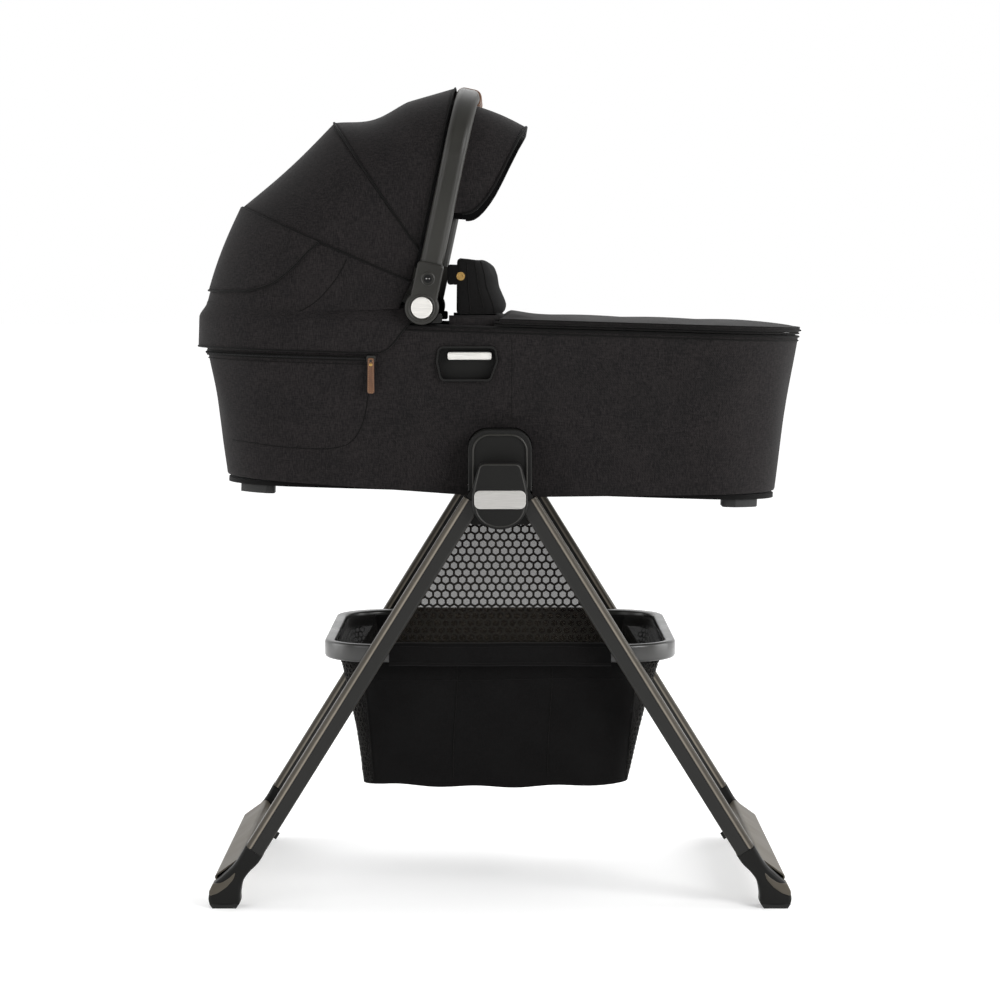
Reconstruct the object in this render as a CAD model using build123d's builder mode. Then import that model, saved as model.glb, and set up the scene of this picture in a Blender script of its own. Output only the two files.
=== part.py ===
from build123d import *
from math import cos, radians, sin
import os

# Bassinet on a folding stand, in millimetres.
# X runs along the cot from its head end (-X) to its foot end (+X), Y across it, Z up.
# The origin is on the floor under the middle of the stand, and the near side is -Y.

# ---- stand: two leg pairs hinged in a hub on each side ----
ENDS = {"head": -1, "foot": 1}
PIVOT_X = 30.0
PIVOT_Z = 560.0
LEG_ANGLE = 31.93
LEG_Y = 245.0
LEG_WIDTH = 26.0
LEG_WALL = 2.5
TUBE_START = 14.0
TUBE_END = 574.0
PIN_R = 3.5
RUNNING_GAP = 0.15
BUMPER_ALONG = 537.0
SHOE_INNER_Y = 230.5
SHOE_WIDTH = 29.0
SOLE_THICKNESS = 6.0
CROSSBAR_CENTRE = (365.3, 44.5)
CROSSBAR_SLOPE = 35.8

# ---- hub ----
TONGUE_INNER_Y = 212.0
TONGUE_THICKNESS = 14.0
TONGUE_WIDTH = 44.0
TONGUE_TOP = 622.0
HUB_PLATE_THICKNESS = 18.0
HUB_OUTER_Y = 258.0
COVER_INNER_Y = 258.5
COVER_OUTER_Y = 275.0
COVER_TOP = 601.5
COVER_MID = 552.0
COVER_BOTTOM = 512.0
BADGE_WIDTH = 69.0
BADGE_HEIGHT = 25.0

# ---- basket ring ----
RIM_ALONG = 261.0
RIM_PIN_R = 4.0
RING_HALF_LENGTH = 241.0
RING_HALF_WIDTH = 228.0
RING_CORNER = 80.0
RING_WALL = 14.0
RING_BOTTOM = 328.0
RING_TOP = 352.0
RING_ARM_END = 150.0
RIVET_X = 45.0
RAIL_Z = 340.0
STRETCHER_INNER_Y = 219.0
LINK_INNER_Y = 213.0
LINK_SLOT = (-7.0, 52.0)
BAG_TOP = 345.0
BAG_BOTTOM = 156.0

# ---- cot: pitched a little about the middle of its base, head end up ----
COT_PITCH = 1.74
SEAT_Z = 555.0
BASE_LEVEL = 552.0
RIM_LEVEL = 780.0
HEAD_X = (-382.0, -422.5)
FOOT_X = (385.0, 408.5)
HALF_WIDTH = (208.0, 222.0)
CORNER = (110.0, 140.0)
CLOTH = 4.0
DOCK_WIDTH = 86.0
DOCK_TOP = 644.6
DOCK_BOTTOM = 561.0
DOCK_INNER_Y = 203.5
DOCK_OUTER_Y = 245.0

SKIRT_LOW = 742.0
SKIRT_HEIGHT = 50.0
SKIRT_FRONT = -144.0
ZIP_LEVEL = 730.5
LATCH_Z = 606.0
COLLAR_BOTTOM = 797.5
COLLAR_HEIGHT = 80.0
SLIDER_X = -174.0
SLIDER_PIN_Z = 736.0

# ---- handle and canopy, all turning on one axis ----
AXIS_X = -105.0
AXIS_Z = 807.6
HANDLE_LEAN = 12.0
HANDLE_Y = 225.0
HANDLE_RISE = 295.0
HANDLE_CORNER = 85.0
HANDLE_SECTION = (31.0, 20.0)
GRIP_LENGTH = 190.0
RIB_1 = (-26.1, 283.0)
RIB_2 = (-61.4, 287.4)
HEM = (-91.0, 308.0)
CANOPY_HALF = 218.0
CANOPY_SKIN = 3.0
CANOPY_START = 31.0
VISOR_X = -51.0
VISOR_Z = 932.5
VISOR_REACH = 148.0
VISOR_ANGLE = 36.0
VISOR_HALF = 200.0

os.makedirs("parts", exist_ok=True)


def save(built, name):
    """Label a finished piece with its name and write it as a STEP file."""
    built.part.label = name
    export_step(built.part, f"parts/{name}.step")


def side_plane(inner_y):
    """Upright plane on the near side, whose extrusions grow outward from inner_y."""
    return Plane.XZ.offset(inner_y)


def leg_point(side, along, across=0.0):
    """(x, z) of a point on a leg, along it from the pivot and across it to the outside."""
    angle = radians(LEG_ANGLE)
    x = side * (PIVOT_X + along * sin(angle) + across * cos(angle))
    return x, PIVOT_Z - along * cos(angle) + across * sin(angle)


def leg_plane(side, along, across=0.0):
    """Plane square to the near leg, with its x to the leg's outer edge and its z down it."""
    angle = radians(LEG_ANGLE)
    x, z = leg_point(side, along, across)
    return Plane(
        origin=(x, -LEG_Y, z),
        x_dir=(side * cos(angle), 0, sin(angle)),
        z_dir=(side * sin(angle), 0, -cos(angle)),
    )


def cot_plane(level):
    """Plane parallel to the cot's floor at a level of the cot, before its pitch."""
    pitch = radians(COT_PITCH)
    base = Plane(origin=(0, 0, SEAT_Z), x_dir=(cos(pitch), 0, -sin(pitch)), z_dir=(sin(pitch), 0, cos(pitch)))
    return base.offset(level - SEAT_Z)


def cot_slice(level, inset, from_x=None, to_x=None, shape_level=None):
    """Rounded plan outline of the cot at a level, drawn inset, and cut to a stretch of its length."""
    share = ((shape_level or level) - BASE_LEVEL) / (RIM_LEVEL - BASE_LEVEL)
    head, foot, half, corner = (
        low + share * (high - low) for low, high in (HEAD_X, FOOT_X, HALF_WIDTH, CORNER)
    )
    with BuildSketch(cot_plane(level)) as outline:
        with Locations(((head + foot) / 2, 0)):
            RectangleRounded(foot - head - 2 * inset, 2 * (half - inset), corner - inset)
        if from_x is not None:
            with Locations(((from_x + to_x) / 2, 0)):
                Rectangle(to_x - from_x, 3 * half, mode=Mode.INTERSECT)
    return outline.sketch


def bow_plane(lean, x=AXIS_X, z=AXIS_Z, ahead=0.0):
    """Plane of a bow that leans forward from upright, with its x across the cot and its y up the bow."""
    angle = radians(lean)
    return Plane(origin=(x + ahead * cos(angle), 0, z - ahead * sin(angle)), x_dir=(0, 1, 0),
                 z_dir=(cos(angle), 0, -sin(angle)))


def bow_path(plane, half, rise, corner, start):
    """Centreline of a bent tube or strip that makes a bow."""
    with BuildLine(plane) as line:
        Line((-half, start), (-half, rise - corner))
        RadiusArc((-half, rise - corner), (corner - half, rise), corner)
        Line((corner - half, rise), (half - corner, rise))
        RadiusArc((half - corner, rise), (half, rise - corner), corner)
        Line((half, rise - corner), (half, start))
    return line.wires()[0]


def bow_band(plane, half, rise, corner, start, thickness=CANOPY_SKIN):
    """Face of a thin arch-shaped band, the cut edge of a canopy panel."""
    inner, low = half - thickness, rise - thickness
    with BuildSketch(plane) as band:
        with BuildLine():
            Line((-half, start), (-half, rise - corner))
            RadiusArc((-half, rise - corner), (corner - half, rise), corner)
            Line((corner - half, rise), (half - corner, rise))
            RadiusArc((half - corner, rise), (half, rise - corner), corner)
            Polyline((half, rise - corner), (half, start), (inner, start), (inner, rise - corner))
            RadiusArc((inner, rise - corner), (half - corner, low), -(corner - thickness))
            Line((half - corner, low), (corner - half, low))
            RadiusArc((corner - half, low), (-inner, rise - corner), -(corner - thickness))
            Polyline((-inner, rise - corner), (-inner, start), (-half, start))
        make_face()
    return band.sketch


def slot_outline(plane, inset):
    """Rounded outline of the hand slot in the cot's side."""
    with BuildSketch(plane) as outline:
        with BuildLine():
            Polyline((-84, 756), (-5, 756), (-2, 735), (-12, 708), (-81, 708), (-87, 735), close=True)
        make_face()
        fillet(outline.vertices(), 9)
        if inset:
            offset(amount=-inset)
    return outline.sketch


def arch_outline(plane, half, bottom, top, radius):
    """Upright arch with rounded shoulders."""
    with BuildSketch(plane) as outline:
        with Locations((0, (bottom + top) / 2)):
            Rectangle(2 * half, top - bottom)
        fillet(outline.vertices().group_by(Axis.Y)[-1], radius)
    return outline.sketch


# ================================ hub ================================
with BuildPart() as hub_frames:
    with BuildSketch(side_plane(TONGUE_INNER_Y)):
        with Locations((0, 536)):
            RectangleRounded(88, 42, 9)
    extrude(amount=HUB_PLATE_THICKNESS)
    with BuildSketch(side_plane(TONGUE_INNER_Y)):
        with Locations((0, (550 + TONGUE_TOP) / 2)):
            RectangleRounded(TONGUE_WIDTH, TONGUE_TOP - 550, 6)
    extrude(amount=TONGUE_THICKNESS)
    with BuildSketch(side_plane(TONGUE_INNER_Y)):
        with Locations((0, 612)):
            Rectangle(17.6, 28)
    extrude(amount=3.2, mode=Mode.SUBTRACT)
    # bridge between the legs out to the plate that carries the leg pins
    with BuildSketch(side_plane(TONGUE_INNER_Y + HUB_PLATE_THICKNESS)):
        with Locations((0, 529)):
            RectangleRounded(22, 22, 4)
    extrude(amount=HUB_OUTER_Y - TONGUE_INNER_Y - HUB_PLATE_THICKNESS)
    with BuildSketch(side_plane(HUB_OUTER_Y)):
        with BuildLine():
            Polyline((-33.4, 566), (33.4, 566), (33.4, 553), (14, 521), (-14, 521), (-33.4, 553), close=True)
        make_face()
        with Locations((-PIVOT_X, PIVOT_Z), (PIVOT_X, PIVOT_Z)):
            Circle(PIN_R, mode=Mode.SUBTRACT)
        with Locations((0, 529)):
            Circle(2.1, mode=Mode.SUBTRACT)
    extrude(amount=3)
    with BuildSketch(side_plane(HUB_OUTER_Y - 14)):
        with Locations((0, 529)):
            Circle(2.1)
    extrude(amount=20, mode=Mode.SUBTRACT)
    mirror(about=Plane.XZ)
save(hub_frames, "hub_frames")


def cover_outline(plane, inset):
    """Egg-shaped outline of the hub cover."""
    with BuildSketch(plane) as outline:
        with BuildLine():
            Line((-26, COVER_TOP), (26, COVER_TOP))
            ThreePointArc((26, COVER_TOP), (34.3, 577), (37.5, COVER_MID))
            ThreePointArc((37.5, COVER_MID), (27, 523), (0, COVER_BOTTOM))
            ThreePointArc((0, COVER_BOTTOM), (-27, 523), (-37.5, COVER_MID))
            ThreePointArc((-37.5, COVER_MID), (-34.3, 577), (-26, COVER_TOP))
        make_face()
        fillet(outline.vertices().group_by(Axis.Y)[-1], 7)
        if inset:
            offset(amount=-inset)
    return outline.sketch


with BuildPart() as hub_covers:
    extrude(cover_outline(side_plane(COVER_INNER_Y), 0), amount=COVER_OUTER_Y - COVER_INNER_Y)
    fillet(hub_covers.faces().sort_by(Axis.Y)[0].edges(), 4)
    extrude(cover_outline(side_plane(COVER_INNER_Y), 3), amount=12, mode=Mode.SUBTRACT)
    with BuildSketch(side_plane(COVER_OUTER_Y - 2)):
        with Locations((0, COVER_MID)):
            RectangleRounded(BADGE_WIDTH, BADGE_HEIGHT, 8)
    extrude(amount=3, mode=Mode.SUBTRACT)
    with BuildSketch(side_plane(261)):
        with Locations((0, 529)):
            Circle(6)
            Circle(2.1, mode=Mode.SUBTRACT)
    extrude(amount=9.6)
    mirror(about=Plane.XZ)
save(hub_covers, "hub_covers")

with BuildPart() as nameplates:
    with BuildSketch(side_plane(COVER_OUTER_Y - 2)):
        with Locations((0, COVER_MID)):
            RectangleRounded(BADGE_WIDTH - 0.4, BADGE_HEIGHT - 0.4, 7.8)
    extrude(amount=3)
    fillet(nameplates.faces().sort_by(Axis.Y)[0].edges(), 0.8)
    mirror(about=Plane.XZ)
save(nameplates, "nameplates")

with BuildPart() as hub_screws:
    with BuildSketch(side_plane(244.2)):
        with Locations((0, 529)):
            Circle(2)
    extrude(amount=25.5)
    mirror(about=Plane.XZ)
save(hub_screws, "hub_screws")

with BuildPart() as leg_pivot_pins:
    with BuildSketch(side_plane(246)):
        with Locations((-PIVOT_X, PIVOT_Z), (PIVOT_X, PIVOT_Z)):
            Circle(PIN_R)
    extrude(amount=17)
    mirror(about=Plane.XZ)
save(leg_pivot_pins, "leg_pivot_pins")

# ================================ legs ================================
SHOE_OUTLINE = (
    (354.9, 62.9), (386, 37), (393, 14), (391.5, SOLE_THICKNESS),
    (350.5, SOLE_THICKNESS), (349.5, 36), (340, 52),
)

for end, side in ENDS.items():
    angle = radians(LEG_ANGLE)
    with BuildPart() as leg_tubes:
        with BuildSketch(leg_plane(side, TUBE_START)):
            RectangleRounded(LEG_WIDTH, LEG_WIDTH, 3)
            RectangleRounded(LEG_WIDTH - 2 * LEG_WALL, LEG_WIDTH - 2 * LEG_WALL, 1.5, mode=Mode.SUBTRACT)
            with Locations((LEG_WIDTH / 2 - 8, side * LEG_WIDTH / 2)):
                Rectangle(1.8, 2.4, mode=Mode.SUBTRACT)
        extrude(amount=TUBE_END - TUBE_START)
        with BuildSketch(side_plane(LEG_Y - LEG_WIDTH / 2 - 1)):
            with Locations(leg_point(side, RIM_ALONG)):
                Circle(RIM_PIN_R)
        extrude(amount=6, mode=Mode.SUBTRACT)
        mirror(about=Plane.XZ)
    save(leg_tubes, f"{end}_leg_tubes")

    with BuildPart() as knuckles:
        with BuildSketch(side_plane(246.6)):
            with BuildLine():
                Polyline(leg_point(side, 0, -9), leg_point(side, 0, 9), leg_point(side, 20, 9),
                         leg_point(side, 20, -9), close=True)
            make_face()
            with Locations(leg_point(side, 0)):
                Circle(9)
                Circle(PIN_R + RUNNING_GAP, mode=Mode.SUBTRACT)
        extrude(amount=8.6)
        with BuildSketch(leg_plane(side, TUBE_START + 0.5)):
            RectangleRounded(20.4, 20.4, 1.2)
        extrude(amount=36)
        mirror(about=Plane.XZ)
    save(knuckles, f"{end}_leg_knuckles")

    with BuildPart() as shoes:
        with BuildSketch(side_plane(SHOE_INNER_Y)) as shoe_face:
            with BuildLine():
                Polyline(
                    leg_point(side, TUBE_END, 14.5),
                    *[(side * x, z) for x, z in SHOE_OUTLINE],
                    leg_point(side, TUBE_END + 13, -14.5),
                    leg_point(side, TUBE_END, -14.5),
                    close=True,
                )
            make_face()
            fillet(shoe_face.vertices().filter_by_position(Axis.Y, 30, 60), 4)
        extrude(amount=SHOE_WIDTH)
        chamfer(shoes.faces().sort_by(Axis.Y)[0].edges(), 1.5)
        with BuildSketch(leg_plane(side, TUBE_END - 30)):
            RectangleRounded(20.4, 20.4, 1.2)
        extrude(amount=31)
        mirror(about=Plane.XZ)
    save(shoes, f"{end}_leg_shoes")

    with BuildPart() as soles:
        with BuildSketch(side_plane(SHOE_INNER_Y)):
            with BuildLine():
                Polyline((side * 391, SOLE_THICKNESS), (side * 387, 0), (side * 355, 0),
                         (side * 351, SOLE_THICKNESS), close=True)
            make_face()
        extrude(amount=SHOE_WIDTH)
        mirror(about=Plane.XZ)
    save(soles, f"{end}_sole_pads")

    with BuildPart() as crossbar:
        slope = radians(CROSSBAR_SLOPE)
        bar_plane = Plane(
            origin=(side * CROSSBAR_CENTRE[0], SHOE_INNER_Y, CROSSBAR_CENTRE[1]),
            x_dir=(side * cos(slope), 0, -sin(slope)),
            z_dir=(0, -1, 0),
        )
        with BuildSketch(bar_plane):
            RectangleRounded(44, 16, 5)
            RectangleRounded(40, 12, 3, mode=Mode.SUBTRACT)
        extrude(amount=2 * SHOE_INNER_Y)
    save(crossbar, f"{end}_crossbar")

    with BuildPart() as bumpers:
        inner_edge = leg_plane(side, BUMPER_ALONG, -LEG_WIDTH / 2)
        with BuildSketch(Plane(origin=inner_edge.origin, z_dir=(-side * cos(angle), 0, -sin(angle)))):
            Circle(5)
        extrude(amount=4)
        mirror(about=Plane.XZ)
    save(bumpers, f"{end}_leg_bumpers")

    with BuildPart() as rim_pins:
        with BuildSketch(side_plane(215)):
            with Locations(leg_point(side, RIM_ALONG)):
                Circle(RIM_PIN_R)
        extrude(amount=LEG_Y - LEG_WIDTH / 2 + LEG_WALL - 215)
        mirror(about=Plane.XZ)
    save(rim_pins, f"{end}_rim_pins")

# ============================ basket ring ============================
for end, side in ENDS.items():
    pin = leg_point(side, RIM_ALONG)
    with BuildPart() as rim_end:
        with BuildSketch(Plane.XY.offset(RING_BOTTOM)):
            with Locations((side * (RING_HALF_LENGTH - 200), 0)):
                RectangleRounded(400, 2 * RING_HALF_WIDTH, RING_CORNER)
                RectangleRounded(400 - 2 * RING_WALL, 2 * (RING_HALF_WIDTH - RING_WALL),
                                 RING_CORNER - RING_WALL, mode=Mode.SUBTRACT)
            with Locations((side * (RING_ARM_END + 60), 0)):
                Rectangle(120, 2 * RING_HALF_WIDTH + 10, mode=Mode.INTERSECT)
        extrude(amount=RING_TOP - RING_BOTTOM)
        fillet(rim_end.faces().sort_by(Axis.Z)[-1].edges(), 3)
        with BuildSketch(side_plane(LINK_INNER_Y)):
            with Locations(pin):
                Circle(RIM_PIN_R + RUNNING_GAP)
        extrude(amount=20, mode=Mode.SUBTRACT)
        with BuildSketch(side_plane(220)):
            with Locations((side * (RING_ARM_END + 18), RAIL_Z)):
                Rectangle(38, 18)
        extrude(amount=4, mode=Mode.SUBTRACT)
        split(bisect_by=Plane.XZ, keep=Keep.TOP)
        mirror(about=Plane.XZ)
    save(rim_end, f"{end}_rim_end")

    with BuildPart() as stretchers:
        with BuildSketch(side_plane(STRETCHER_INNER_Y)):
            with Locations((side * (RING_ARM_END + 37) / 2, RAIL_Z)):
                RectangleRounded(RING_ARM_END - 37, 20, 3)
            with Locations((side * RIVET_X, RAIL_Z)):
                Circle(3, mode=Mode.SUBTRACT)
        extrude(amount=8)
        with BuildSketch(side_plane(220)):
            with Locations((side * (RING_ARM_END + 16), RAIL_Z)):
                Rectangle(34, 17.6)
            with Locations(pin):
                Circle(RIM_PIN_R + RUNNING_GAP, mode=Mode.SUBTRACT)
        extrude(amount=4)
        mirror(about=Plane.XZ)
    save(stretchers, f"{end}_stretchers")

    with BuildPart() as rivets:
        with BuildSketch(side_plane(LINK_INNER_Y - 2)):
            with Locations((side * RIVET_X, RAIL_Z)):
                Circle(5)
        extrude(amount=1.8)
        with BuildSketch(side_plane(LINK_INNER_Y - 1)):
            with Locations((side * RIVET_X, RAIL_Z)):
                Circle(3)
        extrude(amount=STRETCHER_INNER_Y + 9 - LINK_INNER_Y)
        with BuildSketch(side_plane(STRETCHER_INNER_Y + 8)):
            with Locations((side * RIVET_X, RAIL_Z)):
                Circle(5)
        extrude(amount=2)
        mirror(about=Plane.XZ)
    save(rivets, f"{end}_link_rivets")

with BuildPart() as stretcher_links:
    link_start, link_end = -RIVET_X - 7, LINK_SLOT[1] + 7
    with BuildSketch(side_plane(LINK_INNER_Y)):
        with Locations(((link_start + link_end) / 2, RAIL_Z)):
            RectangleRounded(link_end - link_start, 16, 6)
        with Locations((-RIVET_X, RAIL_Z)):
            Circle(3 + RUNNING_GAP, mode=Mode.SUBTRACT)
        with Locations(((LINK_SLOT[0] + LINK_SLOT[1]) / 2, RAIL_Z)):
            SlotOverall(LINK_SLOT[1] - LINK_SLOT[0], 6.8, mode=Mode.SUBTRACT)
    extrude(amount=5)
    mirror(about=Plane.XZ)
save(stretcher_links, "stretcher_links")


def bag_slice(height, half_length, half_width, radius):
    """Rounded plan outline of the storage bag at a height."""
    with BuildSketch(Plane.XY.offset(height)) as outline:
        RectangleRounded(2 * half_length, 2 * half_width, radius)
    return outline.sketch


with BuildPart() as basket_bag:
    loft([bag_slice(BAG_BOTTOM, 180, 197, 24), bag_slice(BAG_TOP - 25, 222, 209, 66)], ruled=True)
    extrude(bag_slice(BAG_TOP - 25, 222, 209, 66), amount=25)
    loft([bag_slice(BAG_BOTTOM + 3, 177, 194, 21), bag_slice(BAG_TOP - 25, 219, 206, 63)],
         ruled=True, mode=Mode.SUBTRACT)
    extrude(bag_slice(BAG_TOP - 25, 219, 206, 63), amount=26, mode=Mode.SUBTRACT)
save(basket_bag, "basket_bag")

with BuildPart() as side_nets:
    with BuildSketch(side_plane(221)):
        with BuildLine():
            Polyline((-12, 513), (12, 513), (146, 354), (-146, 354), close=True)
        make_face()
    extrude(amount=2)
    mirror(about=Plane.XZ)
save(side_nets, "side_nets")

# ================================ cot ================================
with BuildPart() as base_tray:
    extrude(cot_slice(556, 6), amount=6)
save(base_tray, "base_tray")

with BuildPart() as base_feet:
    with BuildSketch(cot_plane(545)):
        with Locations((-332.5, 170), (-332.5, -170), (327.5, 170), (327.5, -170)):
            RectangleRounded(50, 34, 6)
    extrude(amount=10.9)
    extrude(cot_slice(545, 10, shape_level=556), amount=12, mode=Mode.INTERSECT)
    chamfer(base_feet.faces().group_by(Axis.Z)[0].edges(), 1.5)
save(base_feet, "base_feet")

with BuildPart() as fabric_body:
    loft([cot_slice(548, 0), cot_slice(RIM_LEVEL, 0)], ruled=True)
    loft([cot_slice(547, CLOTH), cot_slice(RIM_LEVEL + 1, CLOTH)], ruled=True, mode=Mode.SUBTRACT)
    # the lower edge rises a little from the hub to each end
    pitch = radians(COT_PITCH)
    upright = Plane(origin=(0, 0, SEAT_Z), x_dir=(cos(pitch), 0, -sin(pitch)), z_dir=(0, -1, 0))
    with BuildSketch(upright):
        with BuildLine():
            Polyline((-460, -30), (460, -30), (460, 14), (0, -5), (-460, 14), close=True)
        make_face()
    extrude(amount=300, both=True, mode=Mode.SUBTRACT)
    extrude(arch_outline(Plane.XZ, DOCK_WIDTH / 2 + 0.6, 530, DOCK_TOP + 0.6, 27), amount=300, both=True,
            mode=Mode.SUBTRACT)
    extrude(slot_outline(Plane.XZ, 0), amount=300, both=True, mode=Mode.SUBTRACT)
save(fabric_body, "fabric_body")

with BuildPart() as rim_frame:
    extrude(cot_slice(770, 5.5), amount=10)
    extrude(cot_slice(770, 15.5), amount=10, mode=Mode.SUBTRACT)
save(rim_frame, "rim_frame")

with BuildPart() as liner:
    loft([cot_slice(563, 18), cot_slice(782, 18)], ruled=True)
    loft([cot_slice(566, 21), cot_slice(783, 21)], ruled=True, mode=Mode.SUBTRACT)
save(liner, "liner")

with BuildPart() as mattress:
    extrude(cot_slice(566.5, 24), amount=26)
    fillet(mattress.faces().sort_by(Axis.Z)[-1].edges(), 9)
save(mattress, "mattress")

with BuildPart() as docks:
    extrude(arch_outline(side_plane(DOCK_INNER_Y), DOCK_WIDTH / 2, DOCK_BOTTOM, DOCK_TOP, 27),
            amount=DOCK_OUTER_Y - DOCK_INNER_Y)
    fillet(docks.faces().sort_by(Axis.Y)[0].edges().filter_by(Plane.XZ), 2)
    extrude(arch_outline(side_plane(DOCK_OUTER_Y - 2), 36, DOCK_BOTTOM - 1, 637, 22), amount=4,
            mode=Mode.SUBTRACT)
    with BuildSketch(side_plane(TONGUE_INNER_Y - 0.4)):
        with Locations((0, (DOCK_BOTTOM + TONGUE_TOP) / 2)):
            Rectangle(TONGUE_WIDTH + 0.8, TONGUE_TOP - DOCK_BOTTOM + 2)
    extrude(amount=TONGUE_THICKNESS + 0.8, mode=Mode.SUBTRACT)
    with BuildSketch(side_plane(DOCK_INNER_Y - 1)):
        with Locations((0, LATCH_Z)):
            Rectangle(17, 13)
    extrude(amount=10, mode=Mode.SUBTRACT)
    mirror(about=Plane.XZ)
save(docks, "docks")

with BuildPart() as slot_bezels:
    extrude(slot_outline(side_plane(204.3), 0.4), amount=18.6)
    extrude(slot_outline(side_plane(206), 3), amount=20, mode=Mode.SUBTRACT)
    mirror(about=Plane.XZ)
save(slot_bezels, "slot_bezels")

for name, about in (("near", False), ("far", True)):
    with BuildPart() as lever:
        with BuildSketch(side_plane(207)):
            with Locations((-41, 742.5)):
                RectangleRounded(60, 10.5, 3)
        extrude(amount=9)
        fillet(lever.faces().sort_by(Axis.Y)[0].edges(), 1.5)
        if about:
            mirror(about=Plane.XZ, mode=Mode.REPLACE)
    save(lever, f"{name}_release_lever")

    with BuildPart() as pawl:
        with BuildSketch(side_plane(204.6)):
            with Locations((0, LATCH_Z)):
                Rectangle(16, 12)
        extrude(amount=10)
        if about:
            mirror(about=Plane.XZ, mode=Mode.REPLACE)
    save(pawl, f"{name}_latch_pawl")

with BuildPart() as pivot_brackets:
    with BuildSketch(side_plane(210)):
        with Locations((AXIS_X, AXIS_Z)):
            Circle(20)
        with Locations((AXIS_X + 2, (787 + AXIS_Z) / 2)):
            Rectangle(34, AXIS_Z - 787)
    extrude(amount=3.5)
    with BuildSketch(side_plane(210)):
        with Locations((AXIS_X + 6, 793.2)):
            RectangleRounded(42, 12.6, 3)
    extrude(amount=25)
    with BuildSketch(side_plane(213.5)):
        with Locations((AXIS_X, AXIS_Z)):
            Circle(23.8)
    extrude(amount=30, mode=Mode.SUBTRACT)
    with BuildSketch(side_plane(202.4)):
        with Locations((AXIS_X, AXIS_Z)):
            Circle(5)
    extrude(amount=19.6)
    mirror(about=Plane.XZ)
save(pivot_brackets, "pivot_brackets")

with BuildPart() as canopy_skirt:
    extrude(cot_slice(SKIRT_LOW, -3.6, -440, SKIRT_FRONT, RIM_LEVEL), amount=SKIRT_HEIGHT)
    extrude(cot_slice(SKIRT_LOW - 1, -1.1, -441, SKIRT_FRONT + 1, RIM_LEVEL), amount=SKIRT_HEIGHT + 2,
            mode=Mode.SUBTRACT)
save(canopy_skirt, "canopy_skirt")

with BuildPart() as apron:
    extrude(cot_slice(784.6, -2, -8, 425, RIM_LEVEL), amount=8.4)
    fillet(apron.faces().sort_by(Axis.Z)[-1].edges(), 3)
save(apron, "apron")

with BuildPart() as zip_tape:
    loft([cot_slice(ZIP_LEVEL, -1.9, -440, -176), cot_slice(ZIP_LEVEL + 5, -1.9, -440, -176)], ruled=True)
    loft([cot_slice(ZIP_LEVEL - 0.5, -0.8, -441, -175), cot_slice(ZIP_LEVEL + 5.5, -0.8, -441, -175)],
         ruled=True, mode=Mode.SUBTRACT)
save(zip_tape, "zip_tape")

# ===================== handle, ribs and canopy =====================
with BuildPart() as handle_tube:
    handle_plane = bow_plane(HANDLE_LEAN)
    route = bow_path(handle_plane, HANDLE_Y, HANDLE_RISE, HANDLE_CORNER, 42)
    with BuildSketch(Plane(origin=route @ 0, x_dir=handle_plane.z_dir, z_dir=handle_plane.y_dir)):
        RectangleRounded(HANDLE_SECTION[0], HANDLE_SECTION[1], 9)
    sweep(path=route)
save(handle_tube, "handle_tube")

with BuildPart() as handle_housings:
    with BuildSketch(side_plane(214)) as housing_face:
        with Locations((AXIS_X, AXIS_Z)):
            Circle(23)
            with Locations(Location((0, 0, 0), (0, 0, 1), -HANDLE_LEAN)):
                with Locations((0, 34)):
                    RectangleRounded(36, 56, 6)
    extrude(amount=24)
    fillet(handle_housings.faces().sort_by(Axis.Y)[0].edges(), 2.5)
    socket = Plane(origin=handle_plane.from_local_coords(Vector(-HANDLE_Y, 41, 0)),
                   x_dir=handle_plane.z_dir, z_dir=handle_plane.y_dir)
    with BuildSketch(socket):
        RectangleRounded(HANDLE_SECTION[0] + 0.2, HANDLE_SECTION[1] + 0.2, 9.1)
    extrude(amount=40, mode=Mode.SUBTRACT)
    with BuildSketch(side_plane(226)):
        with Locations((AXIS_X, AXIS_Z)):
            Circle(14.8)
    extrude(amount=14, mode=Mode.SUBTRACT)
    with BuildSketch(side_plane(213)):
        with Locations((AXIS_X, AXIS_Z)):
            Circle(5 + RUNNING_GAP)
    extrude(amount=9.5, mode=Mode.SUBTRACT)
    mirror(about=Plane.XZ)
save(handle_housings, "handle_housings")

with BuildPart() as handle_grip:
    grip_plane = Plane(origin=handle_plane.from_local_coords(Vector(-GRIP_LENGTH / 2, HANDLE_RISE, 0)),
                       x_dir=handle_plane.z_dir, z_dir=(0, 1, 0))
    with BuildSketch(grip_plane):
        RectangleRounded(HANDLE_SECTION[0] + 4, HANDLE_SECTION[1] + 4, 10.5)
        RectangleRounded(HANDLE_SECTION[0] + 0.2, HANDLE_SECTION[1] + 0.2, 9.1, mode=Mode.SUBTRACT)
    extrude(amount=GRIP_LENGTH)
save(handle_grip, "handle_grip")

for name, about in (("near", False), ("far", True)):
    with BuildPart() as button:
        with BuildSketch(side_plane(231)):
            with Locations((AXIS_X, AXIS_Z)):
                Circle(14.4)
        extrude(amount=8.5)
        fillet(button.faces().sort_by(Axis.Y)[0].edges(), 1)
        if about:
            mirror(about=Plane.XZ, mode=Mode.REPLACE)
    save(button, f"{name}_fold_button")

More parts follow.
